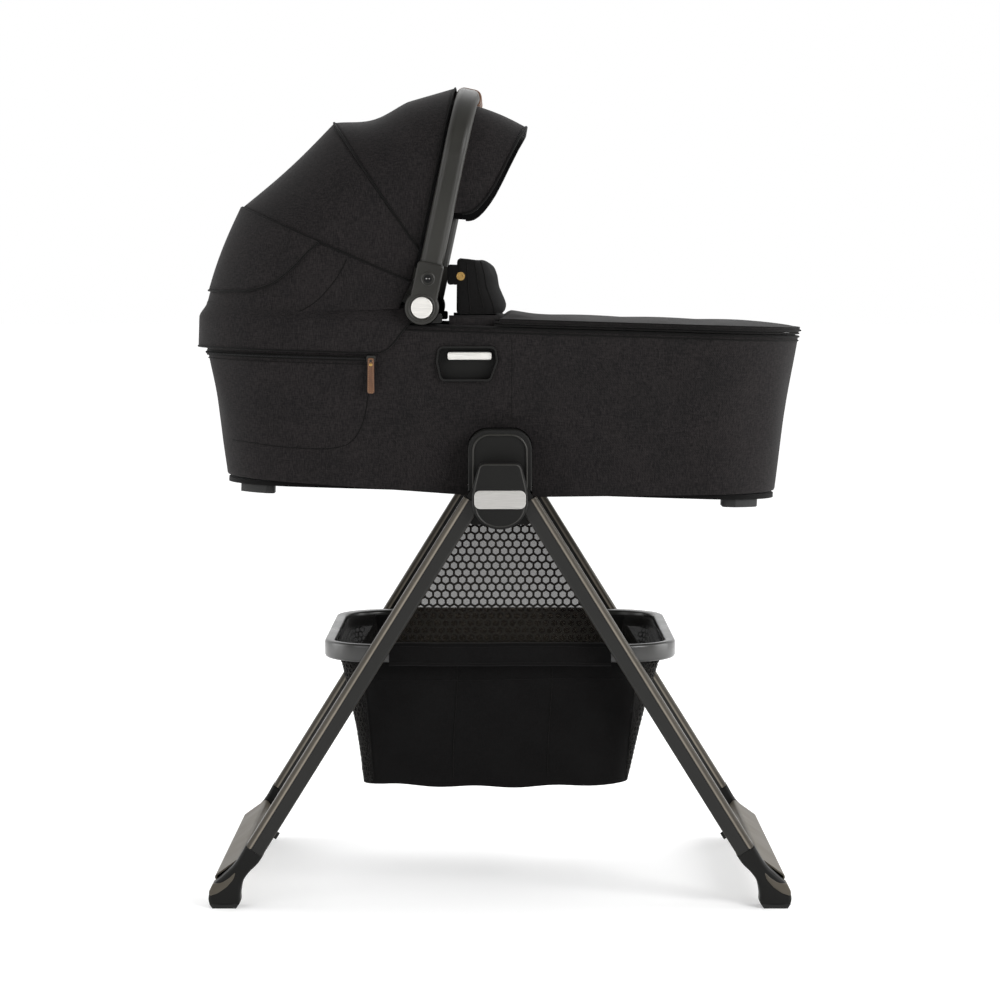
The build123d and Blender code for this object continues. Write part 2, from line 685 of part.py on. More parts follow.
for number, (lean, rise), layer in ((1, RIB_1, 206.5), (2, RIB_2, 203.0)):
    with BuildPart() as rib:
        rib_plane = bow_plane(lean)
        route = bow_path(rib_plane, layer + 1.5, rise - 8, 118, 6)
        with BuildSketch(Plane(origin=route @ 0, x_dir=rib_plane.z_dir, z_dir=rib_plane.y_dir)):
            Rectangle(12, 3)
        sweep(path=route)
        with BuildSketch(side_plane(layer)):
            with Locations((AXIS_X, AXIS_Z)):
                Circle(11)
        extrude(amount=3)
        with BuildSketch(Plane.XZ.offset(-layer - 3)):
            with Locations((AXIS_X, AXIS_Z)):
                Circle(11)
        extrude(amount=3)
        with BuildSketch(Plane.XZ):
            with Locations((AXIS_X, AXIS_Z)):
                Circle(5 + RUNNING_GAP)
        extrude(amount=240, both=True, mode=Mode.SUBTRACT)
    save(rib, f"canopy_rib_{number}")

with BuildPart() as canopy_rear_panel:
    loft([bow_band(bow_plane(HEM[0]), CANOPY_HALF, HEM[1], 138, CANOPY_START),
          bow_band(bow_plane(RIB_2[0]), CANOPY_HALF, RIB_2[1], 128, CANOPY_START)], ruled=True)
save(canopy_rear_panel, "canopy_rear_panel")

with BuildPart() as canopy_mid_panel:
    loft([bow_band(bow_plane(RIB_2[0]), CANOPY_HALF, RIB_2[1], 128, CANOPY_START),
          bow_band(bow_plane(RIB_1[0]), CANOPY_HALF, RIB_1[1], 122, CANOPY_START)], ruled=True)
save(canopy_mid_panel, "canopy_mid_panel")

with BuildPart() as canopy_front_panel:
    loft([bow_band(bow_plane(RIB_1[0]), CANOPY_HALF, RIB_1[1], 122, CANOPY_START),
          bow_band(bow_plane(HANDLE_LEAN, ahead=-20), CANOPY_HALF, 305, 100, CANOPY_START)], ruled=True)
save(canopy_front_panel, "canopy_front_panel")

with BuildPart() as visor:
    loft([bow_band(bow_plane(HANDLE_LEAN, VISOR_X, VISOR_Z), VISOR_HALF, VISOR_REACH, 80, 6),
          bow_band(bow_plane(VISOR_ANGLE, VISOR_X, VISOR_Z), VISOR_HALF, VISOR_REACH, 80, 6)], ruled=True)
save(visor, "visor")

# ===================== wind collar, zip and small trim =====================
with BuildPart() as wind_collar:
    with BuildSketch(Plane.XY.offset(COLLAR_BOTTOM)):
        with Locations((-60, 0)):
            RectangleRounded(134, 428, 38)
            RectangleRounded(110, 404, 26, mode=Mode.SUBTRACT)
        with Locations((-22, 0)):
            Rectangle(80, 440, mode=Mode.INTERSECT)
    extrude(amount=COLLAR_HEIGHT)
    fillet(wind_collar.faces().sort_by(Axis.Z)[-1].edges(), 4)
save(wind_collar, "wind_collar")

with BuildPart() as collar_snaps:
    with BuildSketch(side_plane(214)):
        with Locations((-53, 850)):
            Circle(5.7)
    extrude(amount=1.8)
    mirror(about=Plane.XZ)
save(collar_snaps, "collar_snaps")

with BuildPart() as zip_slider:
    with BuildSketch(side_plane(221.4)):
        with Locations((SLIDER_X, SLIDER_PIN_Z + 2.3)):
            RectangleRounded(12, 9, 2)
    extrude(amount=3.6)
    with BuildSketch(side_plane(224)):
        with Locations((SLIDER_X, SLIDER_PIN_Z)):
            Circle(1.5)
    extrude(amount=4.5)
save(zip_slider, "zip_slider")

with BuildPart() as zip_pull:
    with BuildSketch(side_plane(225.6)):
        with Locations((SLIDER_X, SLIDER_PIN_Z - 20)):
            RectangleRounded(9.6, 48, 3)
        with Locations((SLIDER_X, SLIDER_PIN_Z)):
            Circle(1.75, mode=Mode.SUBTRACT)
    extrude(amount=2)
save(zip_pull, "zip_pull")
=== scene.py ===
"""Looks of a bassinet on its folding stand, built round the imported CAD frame.

Lengths in this file are millimetres in the CAD model's frame, and become metres when a mesh is made.
X runs from the head end to the foot end, Y across the cot with the near side negative, and Z up.
"""

from __future__ import annotations

import logging
import math
from dataclasses import dataclass
from enum import Enum
from typing import Callable, Iterable, Sequence

import bmesh
import bpy
import numpy as np
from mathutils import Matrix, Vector
from mathutils.bvhtree import BVHTree

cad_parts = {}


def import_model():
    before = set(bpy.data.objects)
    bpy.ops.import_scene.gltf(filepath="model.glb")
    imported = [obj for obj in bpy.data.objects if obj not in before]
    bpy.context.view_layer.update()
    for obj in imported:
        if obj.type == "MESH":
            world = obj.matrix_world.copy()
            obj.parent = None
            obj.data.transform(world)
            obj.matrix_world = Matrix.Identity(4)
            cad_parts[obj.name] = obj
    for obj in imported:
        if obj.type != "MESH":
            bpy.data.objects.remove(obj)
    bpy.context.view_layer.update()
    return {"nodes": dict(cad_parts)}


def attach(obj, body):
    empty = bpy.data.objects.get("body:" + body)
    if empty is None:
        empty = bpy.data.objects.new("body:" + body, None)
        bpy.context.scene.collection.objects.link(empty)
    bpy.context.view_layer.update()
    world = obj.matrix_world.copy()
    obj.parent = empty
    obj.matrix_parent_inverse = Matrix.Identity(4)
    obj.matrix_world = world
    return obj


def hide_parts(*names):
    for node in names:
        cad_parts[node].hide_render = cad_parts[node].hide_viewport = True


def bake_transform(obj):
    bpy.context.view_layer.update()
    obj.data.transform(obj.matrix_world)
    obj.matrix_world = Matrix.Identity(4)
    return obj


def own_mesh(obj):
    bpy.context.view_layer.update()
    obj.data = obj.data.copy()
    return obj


LOG = logging.getLogger("bassinet")
MM = 0.001
SIDES = {"near": -1.0, "far": 1.0}
ENDS = {"head": -1.0, "foot": 1.0}
SMOOTH_ANGLE = math.radians(38)


# ------------------------------------------------------------------ finishes
class Weave(Enum):
    """How a cloth is made, which sets the grain that it shows."""

    MELANGE = "melange"
    PLAIN = "plain"
    KNIT = "knit"


class Wiring:
    """Adds and joins the shader nodes of one material."""

    def __init__(self, name: str) -> None:
        """Start a material.

        Args:
            name: The finish's name.
        """
        self.material = bpy.data.materials.new(name)
        self.material.use_nodes = True
        self.tree = self.material.node_tree
        self.shader = self.tree.nodes["Principled BSDF"]

    def add(self, kind: str, inputs: dict | None = None, **settings: object) -> bpy.types.Node:
        """Add a node.

        Args:
            kind: The node's type.
            inputs: Values or sockets for its inputs, by name or number.
            **settings: Properties of the node.

        Returns:
            The node.
        """
        node = self.tree.nodes.new(kind)
        for key, value in settings.items():
            setattr(node, key, value)
        for key, value in (inputs or {}).items():
            self.feed(node.inputs[key], value)
        return node

    def feed(self, socket: bpy.types.NodeSocket, value: object) -> None:
        """Link a socket to another one, or set its value."""
        if isinstance(value, bpy.types.NodeSocket):
            self.tree.links.new(value, socket)
        else:
            socket.default_value = value

    def place(self, scale: Sequence[float] = (1, 1, 1)) -> bpy.types.NodeSocket:
        """The point on the piece in metres, stretched by a scale."""
        coordinates = self.add("ShaderNodeTexCoord").outputs["Object"]
        return self.add("ShaderNodeMapping", {"Vector": coordinates, "Scale": scale}).outputs["Vector"]

    def noise(self, scale: float, stretch: Sequence[float] = (1, 1, 1), detail: float = 2.0,
              rough: float = 0.5) -> bpy.types.NodeSocket:
        """A noise value from 0 to 1, with features of about 1/scale metres."""
        inputs = {"Vector": self.place(stretch), "Scale": scale, "Detail": detail, "Roughness": rough}
        return self.add("ShaderNodeTexNoise", inputs).outputs["Fac"]

    def ramp(self, factor: bpy.types.NodeSocket, low: float, high: float, out_low: float,
             out_high: float) -> bpy.types.NodeSocket:
        """Map one range of a value onto another."""
        inputs = {"Value": factor, "From Min": low, "From Max": high, "To Min": out_low, "To Max": out_high}
        return self.add("ShaderNodeMapRange", inputs).outputs["Result"]

    def blend(self, factor: object, one: object, two: object) -> bpy.types.NodeSocket:
        """Mix two colours."""
        node = self.add("ShaderNodeMix", {0: factor, 6: one, 7: two}, data_type="RGBA")
        return node.outputs[2]

    def math(self, operation: str, one: object, two: object = 0.0) -> bpy.types.NodeSocket:
        """One arithmetic step."""
        return self.add("ShaderNodeMath", {0: one, 1: two}, operation=operation).outputs[0]

    def bump(self, height: bpy.types.NodeSocket, depth: float, strength: float = 1.0) -> None:
        """Raise the surface by a height value, depth metres at most."""
        node = self.add("ShaderNodeBump", {"Height": height, "Strength": strength, "Distance": depth})
        self.feed(self.shader.inputs["Normal"], node.outputs["Normal"])

    def set(self, **values: object) -> None:
        """Feed the shader's inputs, named with underscores for spaces."""
        for key, value in values.items():
            self.feed(self.shader.inputs[key.replace("_", " ")], value)


Colour = tuple[float, float, float, float]


def colour(red: float, green: float, blue: float) -> Colour:
    """A linear colour with full cover."""
    return (red, green, blue, 1.0)


@dataclass(frozen=True)
class Cloth:
    """A woven or knitted cloth."""

    name: str
    dark: Colour
    light: Colour
    weave: Weave = Weave.PLAIN
    yarn: float = 0.9
    roughness: float = 0.86
    sheen: float = 0.04
    specular: float = 0.12
    relief: float = 0.25

    def material(self) -> bpy.types.Material:
        """Make the cloth: yarns of two shades, slubs, a raised weave and uneven roughness."""
        w = Wiring(self.name)
        per_metre = 1000.0 / self.yarn
        warp = w.noise(per_metre, (1, 1, 0.16), 1.0)
        weft = w.noise(per_metre, (0.16, 0.16, 1), 1.0)
        yarns = w.math("ADD", w.math("MULTIPLY", warp, 0.58), w.math("MULTIPLY", weft, 0.42))
        patches = w.noise(22.0, (1, 1, 1), 3.0)
        spread = {Weave.MELANGE: (0.36, 0.66), Weave.PLAIN: (0.30, 0.74), Weave.KNIT: (0.3, 0.7)}[self.weave]
        shade = w.math("ADD", yarns, w.ramp(patches, 0.3, 0.7, -0.06, 0.06))
        w.set(Base_Color=w.blend(w.ramp(shade, *spread, 0.0, 1.0), self.dark, self.light))
        w.set(Roughness=w.ramp(patches, 0.3, 0.7, self.roughness - 0.06, self.roughness + 0.06))
        frequency = 2 * math.pi / (20 * self.yarn * MM)
        waves = []
        for axis in ("DIAGONAL", "Z"):
            wave = {"Vector": w.place(), "Scale": frequency / 1.6}
            waves.append(w.add("ShaderNodeTexWave", wave, bands_direction=axis).outputs["Fac"])
        height = w.math("ADD", w.math("MULTIPLY", waves[0], waves[1]), w.math("MULTIPLY", yarns, 1.4))
        w.bump(height, self.yarn * MM * 0.4, self.relief)
        w.shader.inputs["Sheen Weight"].default_value = self.sheen
        w.shader.inputs["Sheen Roughness"].default_value = 0.45
        w.shader.inputs["Specular IOR Level"].default_value = self.specular
        return w.material


@dataclass(frozen=True)
class Veil:
    """A mesh so fine that it only dims what is behind it."""

    name: str
    tint: Colour
    cover: float

    def material(self) -> bpy.types.Material:
        """Make the veil, whose knit shows as small changes of shade."""
        w = Wiring(self.name)
        knit = w.noise(900.0, (1, 1, 1), 1.0)
        dark = tuple(0.6 * c for c in self.tint[:3]) + (1.0,)
        w.set(Base_Color=w.blend(w.ramp(knit, 0.35, 0.65, 0.0, 1.0), dark, self.tint))
        w.set(Roughness=w.ramp(knit, 0.3, 0.7, 0.75, 0.95))
        w.shader.inputs["Alpha"].default_value = self.cover
        w.shader.inputs["Specular IOR Level"].default_value = 0.1
        return w.material


@dataclass(frozen=True)
class Moulding:
    """A moulded plastic or rubber with a fine eroded grain."""

    name: str
    shade: Colour
    roughness: float
    grain: float = 0.8
    relief: float = 0.12
    specular: float = 0.5
    coat: float = 0.0

    def material(self) -> bpy.types.Material:
        """Make the plastic: grain, cloudy gloss and paler worn edges."""
        w = Wiring(self.name)
        grain = w.noise(1000.0 / self.grain, (1, 1, 1), 2.0)
        clouds = w.noise(14.0, (1, 1, 1), 3.0)
        edge = w.ramp(w.add("ShaderNodeNewGeometry").outputs["Pointiness"], 0.52, 0.62, 0.0, 0.35)
        worn = tuple(min(1.0, 2.2 * c + 0.006) for c in self.shade[:3]) + (1.0,)
        pale = tuple(1.35 * c for c in self.shade[:3]) + (1.0,)
        base = w.blend(w.ramp(clouds, 0.3, 0.7, 0.0, 1.0), self.shade, pale)
        w.set(Base_Color=w.blend(edge, base, worn))
        w.set(Roughness=w.ramp(clouds, 0.3, 0.7, self.roughness - 0.05, self.roughness + 0.07))
        w.bump(grain, 0.00012, self.relief)
        w.shader.inputs["Specular IOR Level"].default_value = self.specular
        w.shader.inputs["Coat Weight"].default_value = self.coat
        w.shader.inputs["Coat Roughness"].default_value = 0.2
        return w.material


@dataclass(frozen=True)
class Metal:
    """A bare metal, brushed along X, Y or Z, or turned in rings."""

    name: str
    shade: Colour
    roughness: float
    brush: tuple[float, float, float] = (0.02, 1, 1)
    streak: float = 0.22
    metallic: float = 1.0

    def material(self) -> bpy.types.Material:
        """Make the metal, with streaks in its colour, roughness and relief."""
        w = Wiring(self.name)
        streaks = w.noise(2600.0, self.brush, 2.0)
        dull = tuple((1 - self.streak) * c for c in self.shade[:3]) + (1.0,)
        w.set(Base_Color=w.blend(w.ramp(streaks, 0.3, 0.7, 0.0, 1.0), dull, self.shade))
        w.set(Roughness=w.ramp(streaks, 0.3, 0.7, self.roughness - 0.06, self.roughness + 0.12))
        w.bump(streaks, 0.00004, 0.5)
        w.shader.inputs["Metallic"].default_value = self.metallic
        return w.material


@dataclass(frozen=True)
class LegPaintWithPaintedLight:
    """The satin paint of the leg extrusions, pale on the rolled outer strip and dark on the face, with light
    and shade painted in: a painted rim light on the face's inner edge, painted shade in the groove, a painted
    highlight line beside it, and the strip fading darker at its outer edge.
    """

    name: str
    strip: Colour
    painted_highlight: Colour
    face: Colour
    angle: float
    pivot: tuple[float, float]
    groove: float

    def material(self) -> bpy.types.Material:
        """Make the paint. Where a point lies across its leg chooses its colour, painted highlight and painted
        shade among them.
        """
        w = Wiring(self.name)
        xyz = w.add("ShaderNodeSeparateXYZ", {0: w.place()}).outputs
        out = w.math("SUBTRACT", w.math("ABSOLUTE", xyz["X"]), self.pivot[0] * MM)
        up = w.math("SUBTRACT", xyz["Z"], self.pivot[1] * MM)
        across = w.math("ADD", w.math("MULTIPLY", out, math.cos(self.angle)),
                        w.math("MULTIPLY", up, math.sin(self.angle)))
        share = w.ramp(across, -14 * MM, 14 * MM, 0.0, 1.0)
        bands = w.add("ShaderNodeValToRGB", {0: share})
        # The edge colour paints a rim light on the face's inner edge and fades the strip darker at its outer
        # edge.
        edge = tuple(0.6 * c for c in self.strip[:3]) + (1.0,)
        # Across the leg: painted rim light, the dark face, painted shade in the groove, a painted highlight
        # line, the pale strip, and the darker outer edge.
        stops = ((-14.0, edge), (-11.6, self.face), (2.6, self.face),
                 (self.groove - 0.6, colour(0.003, 0.003, 0.003)), (self.groove + 0.8, self.painted_highlight),
                 (self.groove + 3.4, self.strip), (13.0, edge))
        ramp = bands.color_ramp
        for number, (at, shade) in enumerate(stops):
            stop = ramp.elements[number] if number < 2 else ramp.elements.new((at + 14) / 28)
            stop.position, stop.color = (at + 14) / 28, shade
        grain = w.noise(1400.0, (1, 1, 1), 2.0)
        clouds = w.noise(9.0, (1, 1, 0.4), 3.0)
        w.set(Base_Color=w.blend(w.ramp(clouds, 0.3, 0.7, 0.0, 0.25), bands.outputs["Color"], self.face))
        w.set(Roughness=w.ramp(clouds, 0.3, 0.7, 0.34, 0.46))
        w.bump(grain, 0.0001, 0.12)
        w.shader.inputs["Metallic"].default_value = 0.2
        w.shader.inputs["Specular IOR Level"].default_value = 0.4
        return w.material


@dataclass(frozen=True)
class Leather:
    """Dyed and waxed leather with a pebbled grain."""

    name: str
    deep: Colour
    worn: Colour

    def material(self) -> bpy.types.Material:
        """Make the leather: pores, creases, rubbed patches and edges."""
        w = Wiring(self.name)
        pores = {"Vector": w.place(), "Scale": 900.0}
        cells = w.add("ShaderNodeTexVoronoi", pores, feature="DISTANCE_TO_EDGE")
        pebbles = w.ramp(cells.outputs["Distance"], 0.0, 0.16, 0.0, 1.0)
        creases = w.noise(160.0, (1, 0.4, 1), 4.0, 0.6)
        rubbed = w.ramp(w.noise(38.0, (1, 1, 1), 3.0), 0.35, 0.7, 0.0, 1.0)
        w.set(Base_Color=w.blend(w.math("MULTIPLY", rubbed, pebbles), self.deep, self.worn))
        w.set(Roughness=w.ramp(creases, 0.3, 0.7, 0.42, 0.62))
        w.bump(w.math("ADD", pebbles, w.math("MULTIPLY", creases, 0.8)), 0.0002, 0.5)
        return w.material


@dataclass
class Finishes:
    """Every finish on the bassinet, made once and shared by its pieces."""

    def __post_init__(self) -> None:
        """Make the materials."""
        self.melange = Cloth("charcoal_melange",
                             colour(0.0048, 0.0043, 0.0045), colour(0.0165, 0.0143, 0.0143),
                             Weave.MELANGE, 1.05).material()
        self.underside = Cloth("black_lining", colour(0.0022, 0.0022, 0.0024), colour(0.006, 0.006, 0.0063),
                               Weave.PLAIN, 0.8).material()
        self.black_cloth = Cloth("black_woven", colour(0.0009, 0.0008, 0.0008), colour(0.0031, 0.0028, 0.0028),
                                 Weave.PLAIN, 0.9).material()
        self.padding = Cloth("black_padding", colour(0.0012, 0.0011, 0.0011), colour(0.0038, 0.0034, 0.0033),
                             Weave.KNIT, 0.8, sheen=0.05).material()
        self.binding = Cloth("black_binding", colour(0.002, 0.002, 0.002), colour(0.006, 0.0055, 0.005),
                             Weave.PLAIN, 0.6).material()
        self.mattress = Cloth("mattress_knit", colour(0.5, 0.49, 0.47), colour(0.72, 0.71, 0.69),
                              Weave.KNIT, 1.4, sheen=0.2, specular=0.3).material()
        self.net = Cloth("black_net", colour(0.004, 0.0036, 0.003), colour(0.012, 0.0108, 0.009),
                         Weave.KNIT, 0.7).material()
        self.veil = Veil("net_backing", colour(0.022, 0.018, 0.0125), 0.57).material()
        self.bag_mesh = Veil("bag_mesh", colour(0.012, 0.0115, 0.011), 0.86).material()
        self.satin = Moulding("satin_black", colour(0.012, 0.0115, 0.0095), 0.42, specular=0.35).material()
        self.textured = Moulding("textured_black", colour(0.0042, 0.0041, 0.0037),
                                 0.48, 0.6, 0.25, 0.18).material()
        self.gloss = Moulding("ring_black", colour(0.009, 0.0088, 0.0076),
                              0.3, 1.0, 0.06, 0.5, 0.25).material()
        self.rubber = Moulding("sole_rubber", colour(0.006, 0.006, 0.0058), 0.68, 0.5, 0.35, 0.3).material()
        self.taupe = Moulding("taupe_paint", colour(0.058, 0.05, 0.038), 0.5, 0.7, 0.15, 0.3).material()
        # Deep black for the zip's coil, and for the discs of painted shade in the sleeves' catches.
        self.deep_black_and_hole_shade = Moulding("deep_black", colour(0.002, 0.002, 0.002), 0.6, 0.8, 0.05, 0.2).material()
        self.silver = Metal("brushed_aluminium", colour(0.86, 0.84, 0.8), 0.34, metallic=0.55).material()
        self.plate = Metal("nameplate_aluminium", colour(0.5, 0.49, 0.47), 0.36, metallic=0.55).material()
        self.steel = Metal("plated_steel", colour(0.42, 0.41, 0.4), 0.34, (1, 1, 0.05)).material()
        self.brass = Metal("brass", colour(0.5, 0.31, 0.1), 0.28, (1, 1, 0.05), metallic=0.8).material()
        self.leather = Leather("brown_leather",
                               colour(0.075, 0.028, 0.009), colour(0.19, 0.08, 0.03)).material()
        self.thread = Cloth("tan_thread", colour(0.2, 0.12, 0.06), colour(0.32, 0.2, 0.11),
                            Weave.PLAIN, 0.4).material()
        # The leg paint's second colour is its painted highlight line.
        self.leg = LegPaintWithPaintedLight("leg_paint_painted_highlight", colour(0.07, 0.06, 0.046), colour(0.3, 0.265, 0.215),
                            colour(0.0085, 0.0082, 0.0072),
                            math.radians(Stand.angle), (Stand.pivot_x, Stand.pivot_z), 5.0).material()


# ------------------------------------------------------------------ mesh making
def unit(vectors: np.ndarray) -> np.ndarray:
    """Vectors scaled to a length of one."""
    return vectors / np.maximum(np.linalg.norm(vectors, axis=-1, keepdims=True), 1e-9)


def lengths(path: np.ndarray) -> np.ndarray:
    """The distance along a path at each of its points."""
    return np.concatenate([[0.0], np.cumsum(np.linalg.norm(np.diff(path, axis=0), axis=1))])


def spaced(path: np.ndarray, step: float) -> np.ndarray:
    """The path again with its points about step apart."""
    along = lengths(path)
    at = np.linspace(0, along[-1], max(2, round(along[-1] / step) + 1))
    return np.stack([np.interp(at, along, path[:, k]) for k in range(path.shape[1])], axis=1)


def smoothstep(low: float, high: float, value: np.ndarray | float) -> np.ndarray | float:
    """0 below low, 1 above high, and an even curve between."""
    t = np.clip((np.asarray(value, float) - low) / (high - low), 0, 1)
    return t * t * (3 - 2 * t)


def curve_through(points: Sequence[Sequence[float]], step: float = 3.0) -> np.ndarray:
    """A smooth line through a few points, by centripetal averaging of its corners.

    Args:
        points: The points, with two or three numbers each.
        step: How far apart the made points are.

    Returns:
        The points of the line.
    """
    p = np.array(points, float)
    p = np.vstack([2 * p[0] - p[1], p, 2 * p[-1] - p[-2]])
    out = []
    for i in range(1, len(p) - 2):
        t = np.linspace(0, 1, 12, endpoint=i == len(p) - 3)[:, None]
        a, b, c, d = p[i - 1], p[i], p[i + 1], p[i + 2]
        second, third = 2 * a - 5 * b + 4 * c - d, 3 * b - a - 3 * c + d
        out.append(0.5 * (2 * b + (c - a) * t + second * t**2 + third * t**3))
    return spaced(np.vstack(out), step)


def rounded(corners: Sequence[tuple[float, float]], radius: float | Sequence[float],
            steps: int = 5) -> np.ndarray:
    """A closed outline whose corners are arcs.

    Args:
        corners: The outline's corners in order.
        radius: One radius, or one for each corner.
        steps: The straight pieces in each arc.

    Returns:
        The outline's points.
    """
    p = np.array(corners, float)
    radii = np.full(len(p), radius, float) if np.isscalar(radius) else np.array(radius, float)
    out = []
    for i, corner in enumerate(p):
        a, b = unit(p[i - 1] - corner), unit(p[(i + 1) % len(p)] - corner)
        half = math.acos(np.clip(a @ b, -1, 1)) / 2
        if radii[i] <= 0 or half > 1.55:
            out.append(corner[None])
            continue
        reach = min(radii[i] / math.tan(half), 0.49 * np.linalg.norm(p[i - 1] - corner),
                    0.49 * np.linalg.norm(p[(i + 1) % len(p)] - corner))
        r = reach * math.tan(half)
        centre = corner + unit(a + b) * r / math.sin(half)
        one, two = corner + a * reach - centre, corner + b * reach - centre
        turn = math.atan2(one[0] * two[1] - one[1] * two[0], one @ two)
        for t in np.linspace(0, turn, steps + 1):
            out.append(centre + [[one[0] * math.cos(t) - one[1] * math.sin(t),
                                  one[0] * math.sin(t) + one[1] * math.cos(t)]])
    return np.vstack(out)


def inset(outline: np.ndarray, by: float) -> np.ndarray:
    """A closed outline moved inward by a distance."""
    area = np.sum(outline[:, 0] * np.roll(outline[:, 1], -1) - np.roll(outline[:, 0], -1) * outline[:, 1])
    ahead, back = unit(np.roll(outline, -1, 0) - outline), unit(outline - np.roll(outline, 1, 0))
    along = unit(ahead + back)
    normal = np.stack([-along[:, 1], along[:, 0]], 1) * np.sign(area)
    moved = outline + normal * by
    nearest = np.linalg.norm(moved[:, None] - outline[None], axis=2).min(axis=1)
    good = np.flatnonzero(nearest > 0.93 * by)
    if 2 < len(good) < len(moved):
        at = np.arange(len(moved))
        moved = np.stack([np.interp(at, good, moved[good, k], period=len(moved)) for k in (0, 1)], 1)
    return moved


class Shape:
    """Points and faces gathered for one piece, in millimetres."""

    def __init__(self) -> None:
        """Start with nothing."""
        self.points: list[np.ndarray] = []
        self.faces: list[tuple[int, ...]] = []
        self.slots: list[int] = []
        self.count = 0

    def add_points(self, points: np.ndarray) -> int:
        """Add points and return the number of the first."""
        first = self.count
        self.points.append(np.asarray(points, float).reshape(-1, 3))
        self.count += len(self.points[-1])
        return first

    def add_faces(self, faces: Iterable[Sequence[int]], slot: int = 0) -> None:
        """Add faces that share a material slot."""
        new = [tuple(int(i) for i in f) for f in faces]
        self.faces += new
        self.slots += [slot] * len(new)

    def grid(self, rows: np.ndarray, round_rows: bool = False,
             slot: int | Callable[[int, int], int] = 0) -> Shape:
        """Add a sheet of quads.

        Args:
            rows: Its points as rows, columns and coordinates.
            round_rows: Whether the last column joins the first.
            slot: The material slot, or a function of row and column that gives it.

        Returns:
            This shape.
        """
        n, m = rows.shape[:2]
        first = self.add_points(rows)
        for i in range(n - 1):
            for j in range(m if round_rows else m - 1):
                k = (j + 1) % m
                a, b = first + i * m, first + (i + 1) * m
                self.add_faces([(a + j, a + k, b + k, b + j)], slot(i, j) if callable(slot) else slot)
        return self

    def sweep(self, path: np.ndarray, section: np.ndarray, up: np.ndarray | None = None, closed: bool = False,
              scale: np.ndarray | None = None) -> Shape:
        """Carry a closed section along a path.

        Args:
            path: The points of the path.
            section: The section's points, to the side of the path and up from it.
            up: The upward direction, one or one for each point. Without it the section doesn't twist.
            closed: Whether the path is a loop.
            scale: A size for the section at each point.

        Returns:
            This shape.
        """
        path = np.asarray(path, float)
        ahead = np.roll(path, -1, 0) - np.roll(path, 1, 0)
        if not closed:
            ahead[0], ahead[-1] = path[1] - path[0], path[-1] - path[-2]
        ahead = unit(ahead)
        if up is None:
            first = np.array([0, 0, 1.0]) if abs(ahead[0, 2]) < 0.8 else np.array([1.0, 0, 0])
            ups = np.zeros_like(path)
            for i, t in enumerate(ahead):
                first = unit(first - t * (first @ t))
                ups[i] = first
        else:
            ups = np.broadcast_to(np.asarray(up, float), path.shape)
            ups = unit(ups - ahead * np.sum(ups * ahead, 1, keepdims=True))
        aside = np.cross(ahead, ups)
        sizes = np.ones(len(path)) if scale is None else np.asarray(scale, float)
        rings = (path[:, None] + aside[:, None] * (section[None, :, :1] * sizes[:, None, None])
                 + ups[:, None] * (section[None, :, 1:] * sizes[:, None, None]))
        n, m = rings.shape[:2]
        base = self.add_points(rings)
        for i in range(n if closed else n - 1):
            a, b = base + i * m, base + ((i + 1) % n) * m
            self.add_faces([(a + j, a + (j + 1) % m, b + (j + 1) % m, b + j) for j in range(m)])
        if not closed:
            self.add_faces([tuple(base + j for j in reversed(range(m)))])
            self.add_faces([tuple(base + (n - 1) * m + j for j in range(m))])
        return self

    def tube(self, path: np.ndarray, radius: float, sides: int = 8, closed: bool = False) -> Shape:
        """Add a round tube along a path."""
        turn = np.linspace(0, 2 * math.pi, sides, endpoint=False)
        return self.sweep(path, radius * np.stack([np.cos(turn), np.sin(turn)], 1), None, closed)

    def slab(self, outline: np.ndarray, place: Callable[[np.ndarray, float], np.ndarray],
             low: float, high: float, edge: float, steps: int = 3, both: bool = False) -> Shape:
        """Add a plate with a rounded edge.

        Args:
            outline: Its closed outline.
            place: Puts outline points at a depth into space.
            low: The depth of its back.
            high: The depth of its front.
            edge: The radius of the front edge.
            steps: The straight pieces in that radius.
            both: Whether the back edge is rounded too.

        Returns:
            This shape.
        """
        sign = math.copysign(1.0, high - low)
        turns = np.linspace(0, math.pi / 2, steps + 1)
        front = [(edge * (1 - math.cos(t)), high - sign * edge * (1 - math.sin(t))) for t in turns]
        back = [(edge * (1 - math.cos(t)), low + sign * edge * (1 - math.sin(t))) for t in reversed(turns)]
        front.append((edge + 0.6, high))
        back.insert(0, (edge + 0.6, low))
        levels = (back if both else [(0.0, low)]) + front
        rings = np.stack([place(inset(outline, by), depth) for by, depth in levels])
        first = self.add_points(rings)
        n, m = rings.shape[:2]
        for i in range(n - 1):
            a, b = first + i * m, first + (i + 1) * m
            self.add_faces([(a + j, a + (j + 1) % m, b + (j + 1) % m, b + j) for j in range(m)])
        self.add_faces([tuple(first + j for j in reversed(range(m)))])
        self.add_faces([tuple(first + (n - 1) * m + j for j in range(m))])
        return self

    def build(self, name: str, *materials: bpy.types.Material) -> bpy.types.Object:
        """Make the object, in metres, with its faces pointing outward.

        Args:
            name: The piece's name.
            *materials: Its materials, in the order of their slots.

        Returns:
            The object.
        """
        mesh = bpy.data.meshes.new(name)
        mesh.from_pydata((np.vstack(self.points) * MM).tolist(), [], self.faces)
        for material in materials:
            mesh.materials.append(material)
        mesh.polygons.foreach_set("material_index", self.slots)
        mesh.validate()
        piece = bpy.data.objects.new(name, mesh)
        bpy.context.scene.collection.objects.link(piece)
        tidy(mesh)
        return piece


